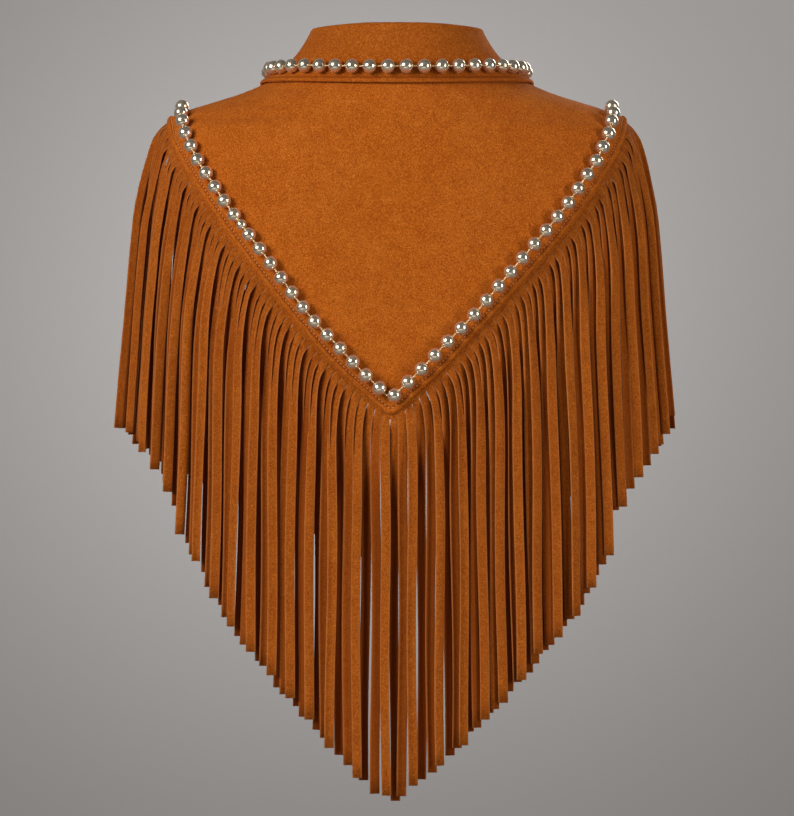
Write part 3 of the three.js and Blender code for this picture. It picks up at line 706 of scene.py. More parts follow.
def suede_material(name, shade=1.0, raw_edges=False):
    """Napped suede: clouded colour, short fibres that catch the light, and a dull sheen. The
    shade darkens every colour as painted shade; an attribute paints shade into the groove of a
    hem, and on raw-edged strands the tone adds painted shade on deeper strands and inner faces.
    """
    colours = bpy.context.scene.cape_colours
    # Each colour darkened by the shade share, painted shade for a darker piece of the same
    # suede
    middle, brushed, rubbed_and_shade = (
        [part * shade for part in colour]
        for colour in (colours.suede, colours.brushed, colours.rubbed_and_shade))
    material, tree, shader, place = new_material(name, middle, 0.94)
    shader.inputs["Specular IOR Level"].default_value = 0.06
    shader.inputs["Sheen Weight"].default_value = 0.12
    shader.inputs["Sheen Roughness"].default_value = 0.5
    shader.inputs["Sheen Tint"].default_value = (1, 0.5, 0.2, 1)
    clouds = add_noise(tree, place, 22, 3)
    mottle = add_noise(tree, place, 90, 5, warp=0.6)
    fibres = add_noise(tree, place, 960, 5, warp=1.4)
    colour = middle
    for share, low, high, most, tint in (
            (clouds, 0.34, 0.68, 0.3, brushed), (mottle, 0.56, 0.34, 0.25, rubbed_and_shade),
            (fibres, 0.5, 0.4, 0.85, rubbed_and_shade), (fibres, 0.51, 0.61, 1.0, brushed)):
        colour = add_mix(tree, add_range(tree, share, low, high, 0.0, most), colour, tint)
    colour = add_mix(tree, add_hairs(tree, place, mottle), colour, colours.brushed)
    # Painted shade in the groove of a hem, mixed towards the dark suede colour
    layers = [("crease", 0.0, 1.0, 0.75, rubbed_and_shade)]
    if raw_edges:
        # Tone: random tone of a strand, with painted shade on deeper strands and inner faces;
        # raw edges lighter
        layers += [("tone", 0.2, 1.6, 1.0, rubbed_and_shade), ("edge", 0.15, 1.0, 0.8, colours.cut_edge)]
    for layer, low, high, most, tint in layers:
        share = add_range(tree, add_attribute(tree, layer), low, high, 0.0, most)
        colour = add_mix(tree, share, colour, tint)
    tree.links.new(colour, shader.inputs["Base Color"])
    soft = add_bump(tree, shader, mottle, 0.3, 0.0006)
    add_bump(tree, shader, fibres, 0.6, 0.0004, soft)
    return material


def thread_material():
    colours = bpy.context.scene.cape_colours
    material, tree, shader, place = new_material("waxed_thread", colours.thread, 0.55)
    twist = add_noise(tree, place, 2600, 1, (1, 1, 0.4))
    tree.links.new(add_mix(tree, twist, colours.thread, colours.brushed),
                   shader.inputs["Base Color"])
    add_bump(tree, shader, twist, 0.4, 0.0001)
    return material


def metal_material(name, colour, roughness):
    """Plated metal with a faint haze of handling."""
    material, tree, shader, place = new_material(name, colour, roughness, 0.86)
    shader.inputs["Sheen Weight"].default_value = 0.5
    shader.inputs["Sheen Roughness"].default_value = 0.3
    shader.inputs["Sheen Tint"].default_value = (1, 0.92, 0.76, 1)
    haze = add_noise(tree, place, 320, 3)
    tree.links.new(add_range(tree, haze, 0.35, 0.7, roughness * 0.7, roughness * 1.7),
                   shader.inputs["Roughness"])
    add_bump(tree, shader, add_noise(tree, place, 140, 1), 0.12, 0.00025)
    return material


def cloth_shell(bm, outer, inner, rim, groove_shades=()):
    """A closed wall of cloth between two grids of points, with its rims rounded. The last
    argument gives how much painted shade lies on each of the last rows, the shade of a hem's
    groove."""
    rows, columns = len(outer), len(outer[0])
    cell = bm.verts.layers.int.new("cell")
    # Painted shade of a hem's groove, kept at each vertex
    crease = bm.verts.layers.float.new("crease")
    bmesh.ops.create_grid(bm, x_segments=columns - 1, y_segments=rows - 1, size=0.5)
    for vert in bm.verts:
        column = round((vert.co.x + 0.5) * (columns - 1))
        row = round((vert.co.y + 0.5) * (rows - 1))
        vert[cell] = row * columns + column
        vert.co = outer[row][column]
        if row >= rows - len(groove_shades):
            vert[crease] = groove_shades[row - rows]
    made = bmesh.ops.extrude_face_region(bm, geom=bm.faces[:], use_keep_orig=True)["geom"]
    for vert in made:
        if isinstance(vert, bmesh.types.BMVert):
            row, column = divmod(vert[cell], columns)
            vert.co = inner[row][column]
    bmesh.ops.recalc_face_normals(bm, faces=bm.faces)
    sharp = [edge for edge in bm.edges if edge.calc_face_angle(0) > math.radians(SHARP_ANGLE)]
    bmesh.ops.bevel(bm, geom=sharp, offset=rim / MM, segments=RIM_STEPS, profile=0.5,
                    material=-1, affect="EDGES", clamp_overlap=True)


def column_stops(columns, swells):
    """Even stops, closer together at the ends and with two swells in the middle too."""
    crowding = 0.09 / swells
    evens = [c / columns for c in range(columns + 1)]
    return [even - crowding * math.sin(2 * math.pi * swells * even) for even in evens]


def panel_grids(panel, stops, rows):
    """Outer and inner points of a panel, with a turned hem along its lower edge."""
    thick = bpy.context.scene.cape_cloth.suede / MM
    outer, inner = [], []
    for r in range(rows + len(HEM_PROFILE)):
        inset, raised = HEM_PROFILE[max(r - rows, 0)]
        shares = [panel.share_from_hem(u, inset) for u in stops]
        if r < rows:
            shares = [share * r / rows for share in shares]
        outer.append([panel.place(u, s, thick + raised)[0] for u, s in zip(stops, shares)])
        inner.append([panel.place(u, s)[0] for u, s in zip(stops, shares)])
    return outer, inner


def template_mesh(bm):
    """Keeps a small shape that is joined into a piece many times."""
    mesh = bpy.data.meshes.new("template")
    bm.to_mesh(mesh)
    bm.free()
    return mesh


def join_copy(bm, template):
    """Adds a copy of a template and gives its new vertices, in the template's order."""
    bm.from_mesh(template)
    bm.verts.ensure_lookup_table()
    return bm.verts[-len(template.vertices):]


def ball_template(around, up):
    bm = bmesh.new()
    bmesh.ops.create_uvsphere(bm, u_segments=around, v_segments=up, radius=1)
    return template_mesh(bm)


def join_ball(bm, template, place, size, turn, finish=0):
    """Adds a ball, stretched to its size along the three directions of its turn."""
    before = len(bm.faces)
    matrix = Matrix.Translation(place) @ turn.to_4x4() @ Matrix.Diagonal((*size, 1))
    bmesh.ops.transform(bm, matrix=matrix, verts=join_copy(bm, template))
    bm.faces.ensure_lookup_table()
    for face in bm.faces[before:]:
        face.material_index = finish


def add_stitches(name, panel, flipped=False):
    """Topstitching in the groove of the hem, a small bar of thread for each stitch."""
    cloth = bpy.context.scene.cape_cloth
    pitch = cloth.stitch_pitch / MM
    radius = cloth.thread / MM
    count = round(panel.hem.length / pitch)
    step = 0.2 / count
    bar = ball_template(*STITCH_FACES)
    bm = bmesh.new()
    for i in range(1, count):
        u = i / count
        share = panel.share_from_hem(u, STITCH_INSET)
        point, normal = panel.place(u, share, cloth.suede / MM - STITCH_DEPTH)
        along = panel.place(u + step, share)[0] - panel.place(u - step, share)[0]
        along.normalize()
        across = normal.cross(along).normalized()
        turn = Matrix([along, across, normal]).transposed()
        join_ball(bm, bar, point, (STITCH_REACH * pitch, radius, radius), turn)
    bpy.data.meshes.remove(bar)
    return finish_piece(name, bm, [thread_material()], (), flipped)


def make_collar(back, front):
    """Rails of the collar by column, from the right front end (-1) to the left (1), and
    the points of its fall."""
    thick = bpy.context.scene.cape_cloth.collar / MM
    suede = bpy.context.scene.cape_cloth.suede / MM
    edge_behind = body_line(FALL_EDGE_BEHIND[::-1], True)
    edge_in_front = body_line(FALL_EDGE_IN_FRONT, False)
    fold_points = [Vector(row) for row in FOLD_LINE]
    edge_out = suede + COLLAR_GAP + thick / 2
    step = 0.002

    def rails(column):
        side = abs(column)
        if side <= 0.5:
            base = back.over_neck(0.5 + side, STAND_LIFT, suede / 2)[0]
            angle, z = edge_behind.at_share(0.5 + side)
        else:
            base = front.over_neck(2 * side - 1, STAND_LIFT, suede / 2)[0]
            angle, z = edge_in_front.at_share(2 * side - 1)
        edge = on_body(angle, z, edge_out)[0]
        fold = spline_point(fold_points, side)
        along = spline_point(fold_points, min(side + step, 1))
        along = along - spline_point(fold_points, max(side - step, 0))
        outward = Vector((along.y, -along.x, 0)).normalized()
        if side < 10 * step:
            outward = Vector((0, 1, 0))
        if outward.dot(Vector((fold.x, fold.y, 0))) < 0:
            outward = -outward
        flip = Vector((-1 if column < 0 else 1, 1, 1))
        return [point * flip for point in (base, edge, fold, outward)]

    def fall(column, share):
        base, edge, fold, outward = rails(column)
        crest = fold + outward * FOLD_RADIUS
        swell = between(FALL_SWELL, abs(column), ease=True) * math.sin(math.pi * share)
        swollen = outward * SWELL_OUT * swell + Vector((0, 0, SWELL_UP * swell))
        return crest.lerp(edge, share) + swollen

    return rails, fall


def collar_grids(rails, fall, columns):
    """Outer and inner points of the collar: its stand, the fold over the top, its fall."""
    thick = bpy.context.scene.cape_cloth.collar / MM
    stand_rows, fold_rows, fall_rows = 10, 8, 22
    profiles = []
    for c in range(columns + 1):
        column = 2 * c / columns - 1
        base, edge, fold, outward = rails(column)
        inside = fold - outward * FOLD_RADIUS
        profile = [base.lerp(inside, r / stand_rows) for r in range(stand_rows)]
        for r in range(fold_rows):
            turn = math.pi * r / fold_rows
            profile.append(fold - outward * FOLD_RADIUS * math.cos(turn)
                           + Vector((0, 0, FOLD_RADIUS * math.sin(turn))))
        drop = (fall(column, 0) - fall(column, 1)).length
        flat = 1 - COLLAR_PROFILE[0][0] / drop
        profile += [fall(column, flat * r / fall_rows) for r in range(fall_rows)]
        profile += [fall(column, 1 - inset / drop) for inset, raised in COLLAR_PROFILE]
        profiles.append(profile)
    rows = len(profiles[0])
    outer, inner = [], []
    for r in range(rows):
        outer.append([])
        inner.append([])
        for c in range(columns + 1):
            across = profiles[min(c + 1, columns)][r] - profiles[max(c - 1, 0)][r]
            along = profiles[c][min(r + 1, rows - 1)] - profiles[c][max(r - 1, 0)]
            normal = across.cross(along).normalized()
            raised = COLLAR_PROFILE[max(r - rows, -len(COLLAR_PROFILE))][1]
            outer[r].append(profiles[c][r] + normal * (thick / 2 + raised))
            inner[r].append(profiles[c][r] - normal * thick / 2)
    return outer, inner


def body_frame(angle, z):
    """A place, out of the body, level along it, down it, and the stride of one radian."""
    step = 0.01
    ahead = on_body(angle + step, z)[0] - on_body(angle - step, z)[0]
    point, normal = on_body(angle, z)
    down = ahead.normalized().cross(normal).normalized()
    if down.z > 0:
        down = -down
    level = normal.cross(down).normalized()
    if level.dot(ahead) < 0:
        level = -level
    return point, normal, level, down, ahead.length / (2 * step)


def strand_rows(panel, seed, first_layer, reaches):
    """What each strand of a fringe is: where it leaves, how long it is and how it hangs."""
    fringe = bpy.context.scene.cape_fringe
    count = round(panel.hem.length / ROOT_PITCH)
    rows = []
    for k in range(count):
        u = (k + 0.5) / count
        angle = panel.hem.at_share(u)[0]
        bend = math.sin(2 * angle)
        from_ridge, from_point, length = reaches(u)
        narrowing = lerp(RIDGE_NARROWING, 1, smooth(from_ridge / RIDGE_REACH))
        lean = LEAN * bend * abs(bend) + LEAN_SPREAD * spread(seed + LEAN_DRAWS + k)
        rows.append({
            "u": u,
            "root": panel.hem.length / count - SLIT,
            "width": fringe.width / MM * narrowing,
            "length": length + LENGTH_SPREAD * spread(seed + k),
            "leaving": ramp(from_ridge, LEAVES_RIDGE) * ramp(from_point, LEAVES_POINT),
            "layer": LAYER_ORDER[(k + first_layer) % len(LAYER_ORDER)],
            "lean": math.radians(lean),
            "twist": math.radians(TWIST_SPREAD * spread(seed + TWIST_DRAWS + k)),
            "curl": fringe.curl / MM * 2 * (chance(seed + CURL_DRAWS + k) - CURL_REST),
            "louvre": math.radians(LOUVRE + LOUVRE_SPREAD * spread(seed + LOUVRE_DRAWS + k)),
            "phase": 2 * math.pi * chance(seed + PHASE_DRAWS + k),
            "tone": TONE_SPREAD * chance(seed + TONE_DRAWS + k),
            "flare": SHOULDER_FLARE * abs(math.sin(angle)) ** SIDE_POWER,
        })
    return rows


def strand_stations(length):
    """Distances down a strand, close together where it turns out of the hem."""
    bend, near_rings, far_rings, crowding = 60, 24, 16, 1.25
    near = [bend * (i / near_rings) ** crowding for i in range(near_rings)]
    return near + [lerp(bend, length, i / far_rings) for i in range(far_rings + 1)]


def strand_sections(panel, strand):
    """Sections down one strand: it leaves square to the hem, turns down and hangs."""
    fringe = bpy.context.scene.cape_fringe
    thick = fringe.thickness / MM
    share = panel.share_from_hem(strand["u"], -STRIP_BELOW)
    angle, z = panel.spot(strand["u"], share)
    point, normal, level, down, stride = body_frame(angle, z)
    step = 0.004
    before = panel.place(max(strand["u"] - step, 0), 1)[0]
    after = panel.place(min(strand["u"] + step, 1), 1)[0]
    away = normal.cross(after - before).normalized()
    square = math.atan2(away.dot(level), away.dot(down))
    along_hem = level * math.cos(square) - down * math.sin(square)
    heading = strand["leaving"] * square
    longest_walk = 3.0
    sections = []
    walked = 0.0
    for station in strand_stations(strand["length"]):
        while walked < station - 1e-6:
            part = min(longest_walk, station - walked)
            turn = heading * math.exp(-walked / TURN_LENGTH) + strand["lean"]
            angle += math.sin(turn) * part / stride
            z += math.cos(turn) * part * down.z
            walked += part
            point, normal, level, down, stride = body_frame(angle, z)
        turn = heading * math.exp(-station / TURN_LENGTH) + strand["lean"]
        settled = SETTLED_FIRST * ramp(station, SETTLES_FIRST)
        settled += (1 - SETTLED_FIRST) * ramp(station, SETTLES_AFTER)
        out = station * strand["flare"] + settled * strand["layer"] * LAYER_STEP
        out -= STRIP_GAP + thick / 2
        wide = level * math.cos(turn) - down * math.sin(turn)
        wide = along_hem.lerp(wide, ramp(station, HANGS_LEVEL)).normalized()
        wander = fringe.wave / MM * ramp(station, WANDERS)
        wander *= math.sin(station / WANDER_LENGTH + strand["phase"])
        twist = strand["twist"] * ramp(station, TWISTS)
        opened = ramp(station, LOUVRE_OPENS)
        kept = 1 - LOUVRE_LOSS * ramp(station, LOUVRE_CLOSES)
        twist -= math.copysign(strand["louvre"], heading) * strand["leaving"] * opened * kept
        facing = math.atan2(normal.x, abs(normal.y))
        twist += math.copysign(FACING, normal.y) * facing * ramp(station, FACES_BACK)
        sections.append({
            "centre": point + normal * out + wide * wander + panel.shift,
            "width": wide * math.cos(twist) + normal * math.sin(twist),
            "depth": normal * math.cos(twist) - wide * math.sin(twist),
            "half": lerp(strand["root"], strand["width"], ramp(station, WIDENS)) / 2,
            "curl": strand["curl"] * ramp(station, CURLS),
            # How far down the layers a settled strand lies, for painted shade on the deeper
            # strands
            "layer_shade": settled * (max(LAYER_ORDER) - strand["layer"]),
        })
    return sections


def strand_template(stations):
    """A closed bar of even rings, and for each vertex its ring and its place around it."""
    around = len(STRAND_RING)
    bm = bmesh.new()
    bmesh.ops.create_cone(bm, cap_ends=True, segments=around, radius1=1, radius2=1, depth=1)
    upright = [edge for edge in bm.edges
               if abs(edge.verts[0].co.z - edge.verts[1].co.z) > 0.5]
    bmesh.ops.subdivide_edges(bm, edges=upright, cuts=stations - 2)
    spots = []
    for vert in bm.verts:
        turn = math.atan2(vert.co.y, vert.co.x) / (2 * math.pi)
        spots.append((round((0.5 - vert.co.z) * (stations - 1)), round(turn * around) % around))
    return template_mesh(bm), spots


def strip_grids(panel, stops, thick):
    """The uncut strip behind the hem that carries the strands."""
    outer, inner = [], []
    for inset in STRIP_INSETS:
        shares = [panel.share_from_hem(u, inset) for u in stops]
        for grid, depth in ((outer, STRIP_GAP), (inner, STRIP_GAP + thick)):
            grid.append([panel.place(u, s, -depth)[0] for u, s in zip(stops, shares)])
    return outer, inner


def add_fringe(name, panel, strands, stops, suede, node, flipped):
    """A strip behind a hem with its strands, each swept down its sections."""
    thick = bpy.context.scene.cape_fringe.thickness / MM
    rim = bpy.context.scene.cape_cloth.strip_rim
    made = bmesh.new()
    cloth_shell(made, *strip_grids(panel, stops, thick), rim)
    strip = template_mesh(made)
    bm = bmesh.new()
    tone = bm.verts.layers.float.new("tone")
    edge = bm.verts.layers.float.new("edge")
    join_copy(bm, strip)
    template, spots = strand_template(len(strand_stations(1)))
    for strand in strands:
        sections = strand_sections(panel, strand)
        for vert, (station, around) in zip(join_copy(bm, template), spots):
            section = sections[station]
            across, deep, raw = STRAND_RING[around]
            cupped = section["curl"] * (across * across - CURL_REST)
            vert.co = section["centre"] + section["width"] * across * section["half"]
            vert.co += section["depth"] * (deep * thick + cupped)
            # Random tone of the strand, with painted shade added on the strands of the deeper
            # layers
            outer_tone = strand["tone"] + PAINTED_LAYER_SHADE * section["layer_shade"]
            # Inner faces darker, as the flesh side of the suede and as painted shade in the
            # gaps
            vert[tone] = outer_tone if deep >= 0 else INSIDE_FLESH_AND_SHADE
            vert[edge] = raw
    for mesh in (strip, template):
        bpy.data.meshes.remove(mesh)
    return finish_piece(name, bm, [suede], [node], flipped)


def reaches_behind(panel):
    def reaches(u):
        from_ridge = min(u, 1 - u) * panel.hem.length
        from_point = abs(u - 0.5) * panel.hem.length
        side = 1 if u < 0.5 else 2
        return from_ridge, from_point, between(STRAND_LENGTHS, from_ridge, side)
    return reaches


def reaches_in_front(panel):
    def reaches(u):
        from_ridge = u * panel.hem.length
        return from_ridge, panel.hem.length - from_ridge, STRAND_FRONT
    return reaches


def chain_line(rows, panel, behind):
    """Middle of a chain that lies on a panel, with its direction out of the cloth."""
    out = bpy.context.scene.cape_cloth.suede / MM + CHAIN_LIFT
    line = body_line(rows, behind)
    marks = 300
    spots = [on_body(*line.at_share(i / marks), out) for i in range(marks + 1)]
    samples = [(point + panel.shift, normal) for point, normal in spots]
    return MeasuredLine(samples, [point for point, normal in samples])


def collar_chain_line(fall):
    """Middle of the chain that lies on the fall of the collar."""
    out = bpy.context.scene.cape_cloth.collar / MM / 2 + CHAIN_LIFT
    marks = 160
    step, step_down = 0.01, 0.02
    samples = []
    for i in range(marks + 1):
        column = lerp(-COLLAR_CHAIN_REACH, COLLAR_CHAIN_REACH, i / marks)
        drop = (fall(column, 0) - fall(column, 1)).length
        share = 1 - between(COLLAR_CHAIN_INSET, abs(column)) / drop
        across = fall(column + step, share) - fall(column - step, share)
        along = fall(column, share + step_down) - fall(column, share - step_down)
        normal = across.cross(along).normalized()
        samples.append((fall(column, share) + normal * out, normal))
    return MeasuredLine(samples, [point for point, normal in samples])


def even_balls(length, end_room):
    """Places of balls along a chain, half a pitch in from the seam at its start."""
    chain = bpy.context.scene.cape_chain
    count = round((length - end_room) * MM / chain.pitch)
    return [((i + 0.5) * chain.pitch / MM, chain.ball / MM) for i in range(count)]


def back_balls(length):
    """One ball at the point of the hem, and a small joining ball on the left."""
    chain = bpy.context.scene.cape_chain
    pitch, radius = chain.pitch / MM, chain.ball / MM
    half = length / 2
    right_count = round(half / pitch - 0.5)
    right_pitch = half / (right_count + 0.5)
    left_span = half - 2 * CONNECTOR_REACH
    left_count = round(left_span / pitch + 0.5)
    left_pitch = left_span / (left_count - 0.5)
    balls = [(half - i * right_pitch, radius) for i in range(right_count, -1, -1)]
    at = half
    for i in range(1, left_count + 1):
        if i == CONNECTOR_AFTER + 1:
            balls.append((at + CONNECTOR_REACH, CONNECTOR_RADIUS))
            at += 2 * CONNECTOR_REACH
        else:
            at += left_pitch
        balls.append((at, radius))
    return balls


def line_frame(line, at):
    """Place on a line, and directions along it, across it and out of it."""
    point, normal = line.at(at)
    along = (line.at(at + 1)[0] - line.at(at - 1)[0]).normalized()
    across = normal.cross(along).normalized()
    return point, [along, across, along.cross(across)]


def add_chain(name, line, balls, metals, node, flipped=False):
    """Polished balls with a pin and three small beads between each two."""
    chain = bpy.context.scene.cape_chain
    bead, pin = chain.bead / MM, chain.pin / MM
    ball, small = ball_template(*BALL_FACES), ball_template(*BEAD_FACES)
    bm = bmesh.new()
    for place, radius in balls:
        point, directions = line_frame(line, place)
        turn = Matrix(directions).transposed() @ Matrix.Rotation(math.pi / 2, 3, "Y")
        join_ball(bm, ball, point, (radius, radius, radius), turn)
    for (start, before), (end, after) in zip(balls, balls[1:]):
        first, last = start + before, end - after
        middle = (first + last) / 2
        point, directions = line_frame(line, middle)
        turn = Matrix(directions).transposed()
        reach = (last - first) / 2 + PIN_OVERLAP
        join_ball(bm, small, point, (reach, pin, pin), turn, 1)
        for offset in BEAD_PLACES:
            point = line.at(middle + offset * (last - first))[0]
            join_ball(bm, small, point, (BEAD_FLATTENING * bead, bead, bead), turn, 1)
    for template in (ball, small):
        bpy.data.meshes.remove(template)
    return finish_piece(name, bm, metals, [node], flipped)


class CAPE_OT_panels(bpy.types.Operator):
    """Builds the pointed back yoke and the two fronts, with their turned hems"""
    bl_idname = "cape.panels"
    bl_label = "Yoke and fronts"

    def execute(self, context):
        rim = context.scene.cape_cloth.rim
        back, front = make_panels()
        suede = suede_material("tan_suede")
        back_grids = panel_grids(back, column_stops(*BACK_COLUMNS), BACK_ROWS)
        front_grids = panel_grids(front, column_stops(*FRONT_COLUMNS), FRONT_ROWS)
        for name, grids, node, flipped in (
                ("back_yoke", back_grids, "back_panel", False),
                ("left_front", front_grids, "front_left", False),
                ("right_front", front_grids, "front_right", True)):
            bm = bmesh.new()
            cloth_shell(bm, *grids, rim, HEM_GROOVE_SHADE)
            finish_piece(name, bm, [suede], [node], flipped)
        add_stitches("back_stitches", back)
        add_stitches("left_front_stitches", front)
        add_stitches("right_front_stitches", front, True)
        return {"FINISHED"}


class CAPE_OT_collar(bpy.types.Operator):
    """Builds the turned-down collar"""
    bl_idname = "cape.collar"
    bl_label = "Collar"

    def execute(self, context):
        back, front = make_panels()
        bm = bmesh.new()
        grids = collar_grids(*make_collar(back, front), COLLAR_COLUMNS)
        cloth_shell(bm, *grids, context.scene.cape_cloth.collar_rim, COLLAR_GROOVE_SHADE)
        # The collar suede is the tan suede darkened by painted shade
        finish_piece("turned_collar", bm, [suede_material("collar_suede", COLLAR_PAINTED_SHADE)],
                     ["collar"])
        return {"FINISHED"}


class CAPE_OT_fringe(bpy.types.Operator):
    """Builds the cut fringe behind each hem"""
    bl_idname = "cape.fringe"
    bl_label = "Fringe"

    def execute(self, context):
        back, front = make_panels()
        # The fringe suede is the tan suede darkened by painted shade
        suede = suede_material("fringe_suede", FRINGE_PAINTED_SHADE, True)
        behind, in_front = reaches_behind(back), reaches_in_front(front)
        for name, panel, reaches, columns, seed, first_layer, node, flipped in (
                ("back_fringe", back, behind, BACK_STRIP_COLUMNS, BACK_DRAWS, 0,
                 "fringe_back", False),
                ("left_front_fringe", front, in_front, FRONT_STRIP_COLUMNS, LEFT_DRAWS, 2,
                 "fringe_front_left", False),
                ("right_front_fringe", front, in_front, FRONT_STRIP_COLUMNS, RIGHT_DRAWS, 2,
                 "fringe_front_right", True)):
            strands = strand_rows(panel, seed, first_layer, reaches)
            add_fringe(name, panel, strands, column_stops(*columns), suede, node, flipped)
        return {"FINISHED"}


class CAPE_OT_chains(bpy.types.Operator):
    """Strings the ball chains along the hems and round the collar"""
    bl_idname = "cape.chains"
    bl_label = "Ball chains"

    def execute(self, context):
        colours = context.scene.cape_colours
        metals = [metal_material("nickel_plate", colours.nickel, NICKEL_ROUGHNESS),
                  metal_material("gilt_link", colours.link, LINK_ROUGHNESS)]
        back, front = make_panels()
        line = chain_line(CHAIN_BEHIND, back, True)
        add_chain("back_chain", line, back_balls(line.length), metals, "chain_back")
        line = chain_line(CHAIN_IN_FRONT, front, False)
        balls = even_balls(line.length, CHAIN_END)
        add_chain("left_front_chain", line, balls, metals, "chain_front_left")
        add_chain("right_front_chain", line, balls, metals, "chain_front_right", True)
        rails, fall = make_collar(back, front)
        line = collar_chain_line(fall)
        balls = even_balls(line.length, 0)
        slack = (line.length - len(balls) * context.scene.cape_chain.pitch / MM) / 2
        balls = [(place + slack, radius) for place, radius in balls]
        add_chain("collar_chain", line, balls, metals, "chain_collar")
        return {"FINISHED"}


class CAPE_OT_sheets(bpy.types.Operator):
    """Does nothing: it states no flat cut of any sheet of suede"""
    bl_idname = "cape.sheets"
    bl_label = "Flat cuts"

    def execute(self, context):
        return {"FINISHED"}


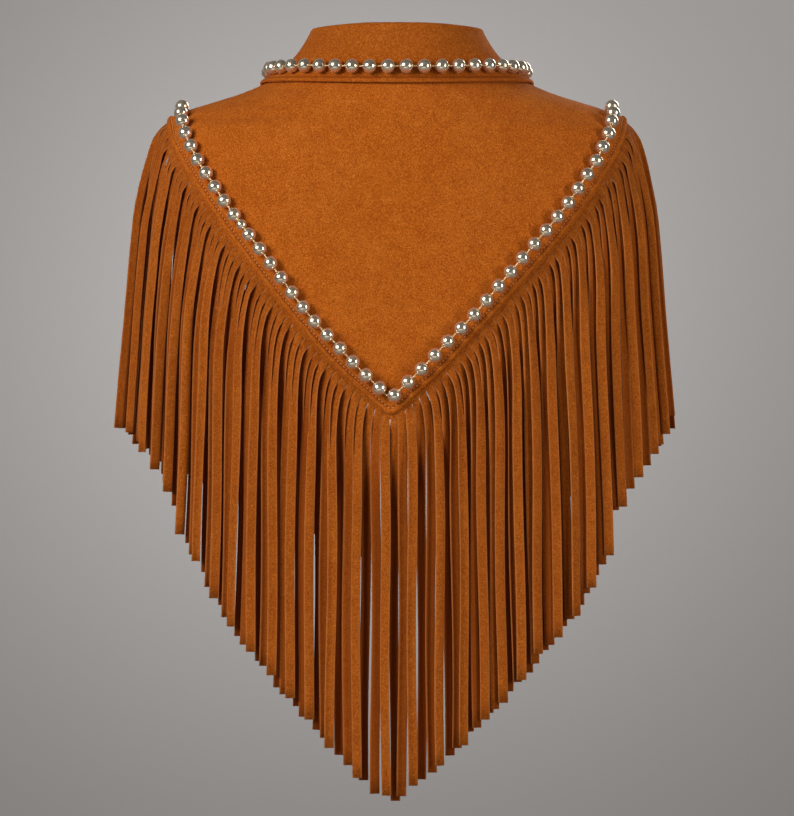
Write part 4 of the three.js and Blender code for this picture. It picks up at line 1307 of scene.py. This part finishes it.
class CAPE_OT_stage(bpy.types.Operator):
    """Sets up the paper sweep, the lights and the camera"""
    bl_idname = "cape.stage"
    bl_label = "Studio"

    def execute(self, context):
        studio = context.scene.cape_studio
        self.add_backdrop(studio)
        for name, setting, place, aim, size in LIGHTS:
            self.add_light(name, getattr(studio, setting), place, aim, size)
        self.add_sky(context.scene, studio)
        self.add_camera(context.scene, studio)
        context.scene.view_settings.view_transform = "Standard"
        return {"FINISHED"}

    def add_backdrop(self, studio):
        """A floor that curves up into a wall in front of the wearer, away from the camera."""
        bend = FLOOR + WALL_BEND
        bm = bmesh.new()
        corner = bmesh.ops.create_vert(bm, co=(-SWEEP_REACH, WALL, bend))["vert"][0]
        bmesh.ops.spin(bm, geom=[corner], cent=(-SWEEP_REACH, WALL + WALL_BEND, bend),
                       axis=(1, 0, 0), dvec=(0, 0, 0), angle=math.pi / 2, steps=24,
                       use_duplicate=False)
        for vert in [vert for vert in bm.verts if len(vert.link_edges) == 1]:
            top = vert.co.y < WALL + 0.01
            far = bmesh.ops.extrude_vert_indiv(bm, verts=[vert])["verts"][0]
            far.co = (-SWEEP_REACH, WALL, WALL_TOP) if top else (-SWEEP_REACH, FLOOR_END, FLOOR)
        made = bmesh.ops.extrude_edge_only(bm, edges=bm.edges[:])["geom"]
        side = [item for item in made if isinstance(item, bmesh.types.BMVert)]
        bmesh.ops.translate(bm, vec=(2 * SWEEP_REACH, 0, 0), verts=side)
        mesh = bpy.data.meshes.new("paper_sweep")
        bm.to_mesh(mesh)
        bm.free()
        mesh.shade_smooth()
        material, tree, shader, place = new_material("sweep_paper", studio.backdrop, 0.95)
        shader.inputs["Specular IOR Level"].default_value = 0.1
        add_bump(tree, shader, add_noise(tree, place, 300), 0.05, 0.0005)
        self.clear_behind(tree, shader)
        mesh.materials.append(material)
        sweep = bpy.data.objects.new("paper_sweep", mesh)
        bpy.context.scene.collection.objects.link(sweep)

    def clear_behind(self, tree, shader):
        """The back of the paper is clear, so the wall hides nothing in a view of the front."""
        behind = tree.nodes.new("ShaderNodeNewGeometry").outputs["Backfacing"]
        clear = tree.nodes.new("ShaderNodeBsdfTransparent")
        mix = tree.nodes.new("ShaderNodeMixShader")
        tree.links.new(behind, mix.inputs[0])
        tree.links.new(shader.outputs["BSDF"], mix.inputs[1])
        tree.links.new(clear.outputs["BSDF"], mix.inputs[2])
        tree.links.new(mix.outputs["Shader"], tree.nodes["Material Output"].inputs["Surface"])

    def add_light(self, name, power, place, aim, size):
        data = bpy.data.lights.new(name, "AREA")
        data.shape = "RECTANGLE"
        data.size, data.size_y = size
        data.energy = power
        lamp = bpy.data.objects.new(name, data)
        lamp.location = place
        lamp.visible_camera = False
        lamp.rotation_euler = (Vector(aim) - Vector(place)).to_track_quat("-Z", "Y").to_euler()
        bpy.context.scene.collection.objects.link(lamp)

    def add_sky(self, scene, studio):
        """Dim even light, brighter overhead, as a plain room gives."""
        scene.world = bpy.data.worlds.new("studio_room")
        scene.world.use_nodes = True
        tree = scene.world.node_tree
        sky = tree.nodes["Background"]
        sky.inputs["Strength"].default_value = studio.sky
        place = tree.nodes.new("ShaderNodeTexCoord").outputs["Generated"]
        split = tree.nodes.new("ShaderNodeSeparateXYZ")
        tree.links.new(place, split.inputs["Vector"])
        above = add_range(tree, split.outputs["Z"], -0.3, 0.9)
        tree.links.new(add_mix(tree, above, HORIZON, OVERHEAD), sky.inputs["Color"])

    def add_camera(self, scene, studio):
        data = bpy.data.cameras.new("camera")
        data.sensor_width = SENSOR_WIDTH
        data.lens = data.sensor_width * studio.distance / studio.view_height
        camera = bpy.data.objects.new("camera", data)
        camera.location = (0, studio.distance, studio.height)
        camera.rotation_euler = (math.pi / 2, 0, math.pi)
        scene.collection.objects.link(camera)
        scene.camera = camera


class CAPE_PT_build(bpy.types.Panel):
    """Lists the pieces of the cape and their sizes"""
    bl_label = "Suede fringe cape"
    bl_idname = "CAPE_PT_build"
    bl_space_type = "VIEW_3D"
    bl_region_type = "UI"
    bl_category = "Cape"

    def draw(self, context):
        layout = self.layout
        for operator in OPERATORS:
            layout.operator(operator.bl_idname)
        for name in GROUPS:
            settings = getattr(context.scene, name)
            box = layout.box()
            for key in settings.bl_rna.properties.keys():
                if key not in {"rna_type", "name"}:
                    box.prop(settings, key)


GROUPS = {
    "cape_cloth": CapeCloth,
    "cape_fringe": CapeFringe,
    "cape_chain": CapeChain,
    "cape_colours": CapeColours,
    "cape_studio": CapeStudio,
}
OPERATORS = [
    CAPE_OT_panels, CAPE_OT_collar, CAPE_OT_fringe, CAPE_OT_chains, CAPE_OT_sheets,
    CAPE_OT_stage,
]
CLASSES = [*GROUPS.values(), *OPERATORS, CAPE_PT_build]


def register():
    for item in CLASSES:
        bpy.utils.register_class(item)
    for name, group in GROUPS.items():
        setattr(bpy.types.Scene, name, bpy.props.PointerProperty(type=group))


def unregister():
    for name in GROUPS:
        delattr(bpy.types.Scene, name)
    for item in reversed(CLASSES):
        bpy.utils.unregister_class(item)


def main():
    register()
    bpy.ops.cape.stage()
    bpy.ops.cape.panels()
    bpy.ops.cape.collar()
    bpy.ops.cape.fringe()
    bpy.ops.cape.chains()
    bpy.ops.cape.sheets()


if __name__ == "__main__":
    main()
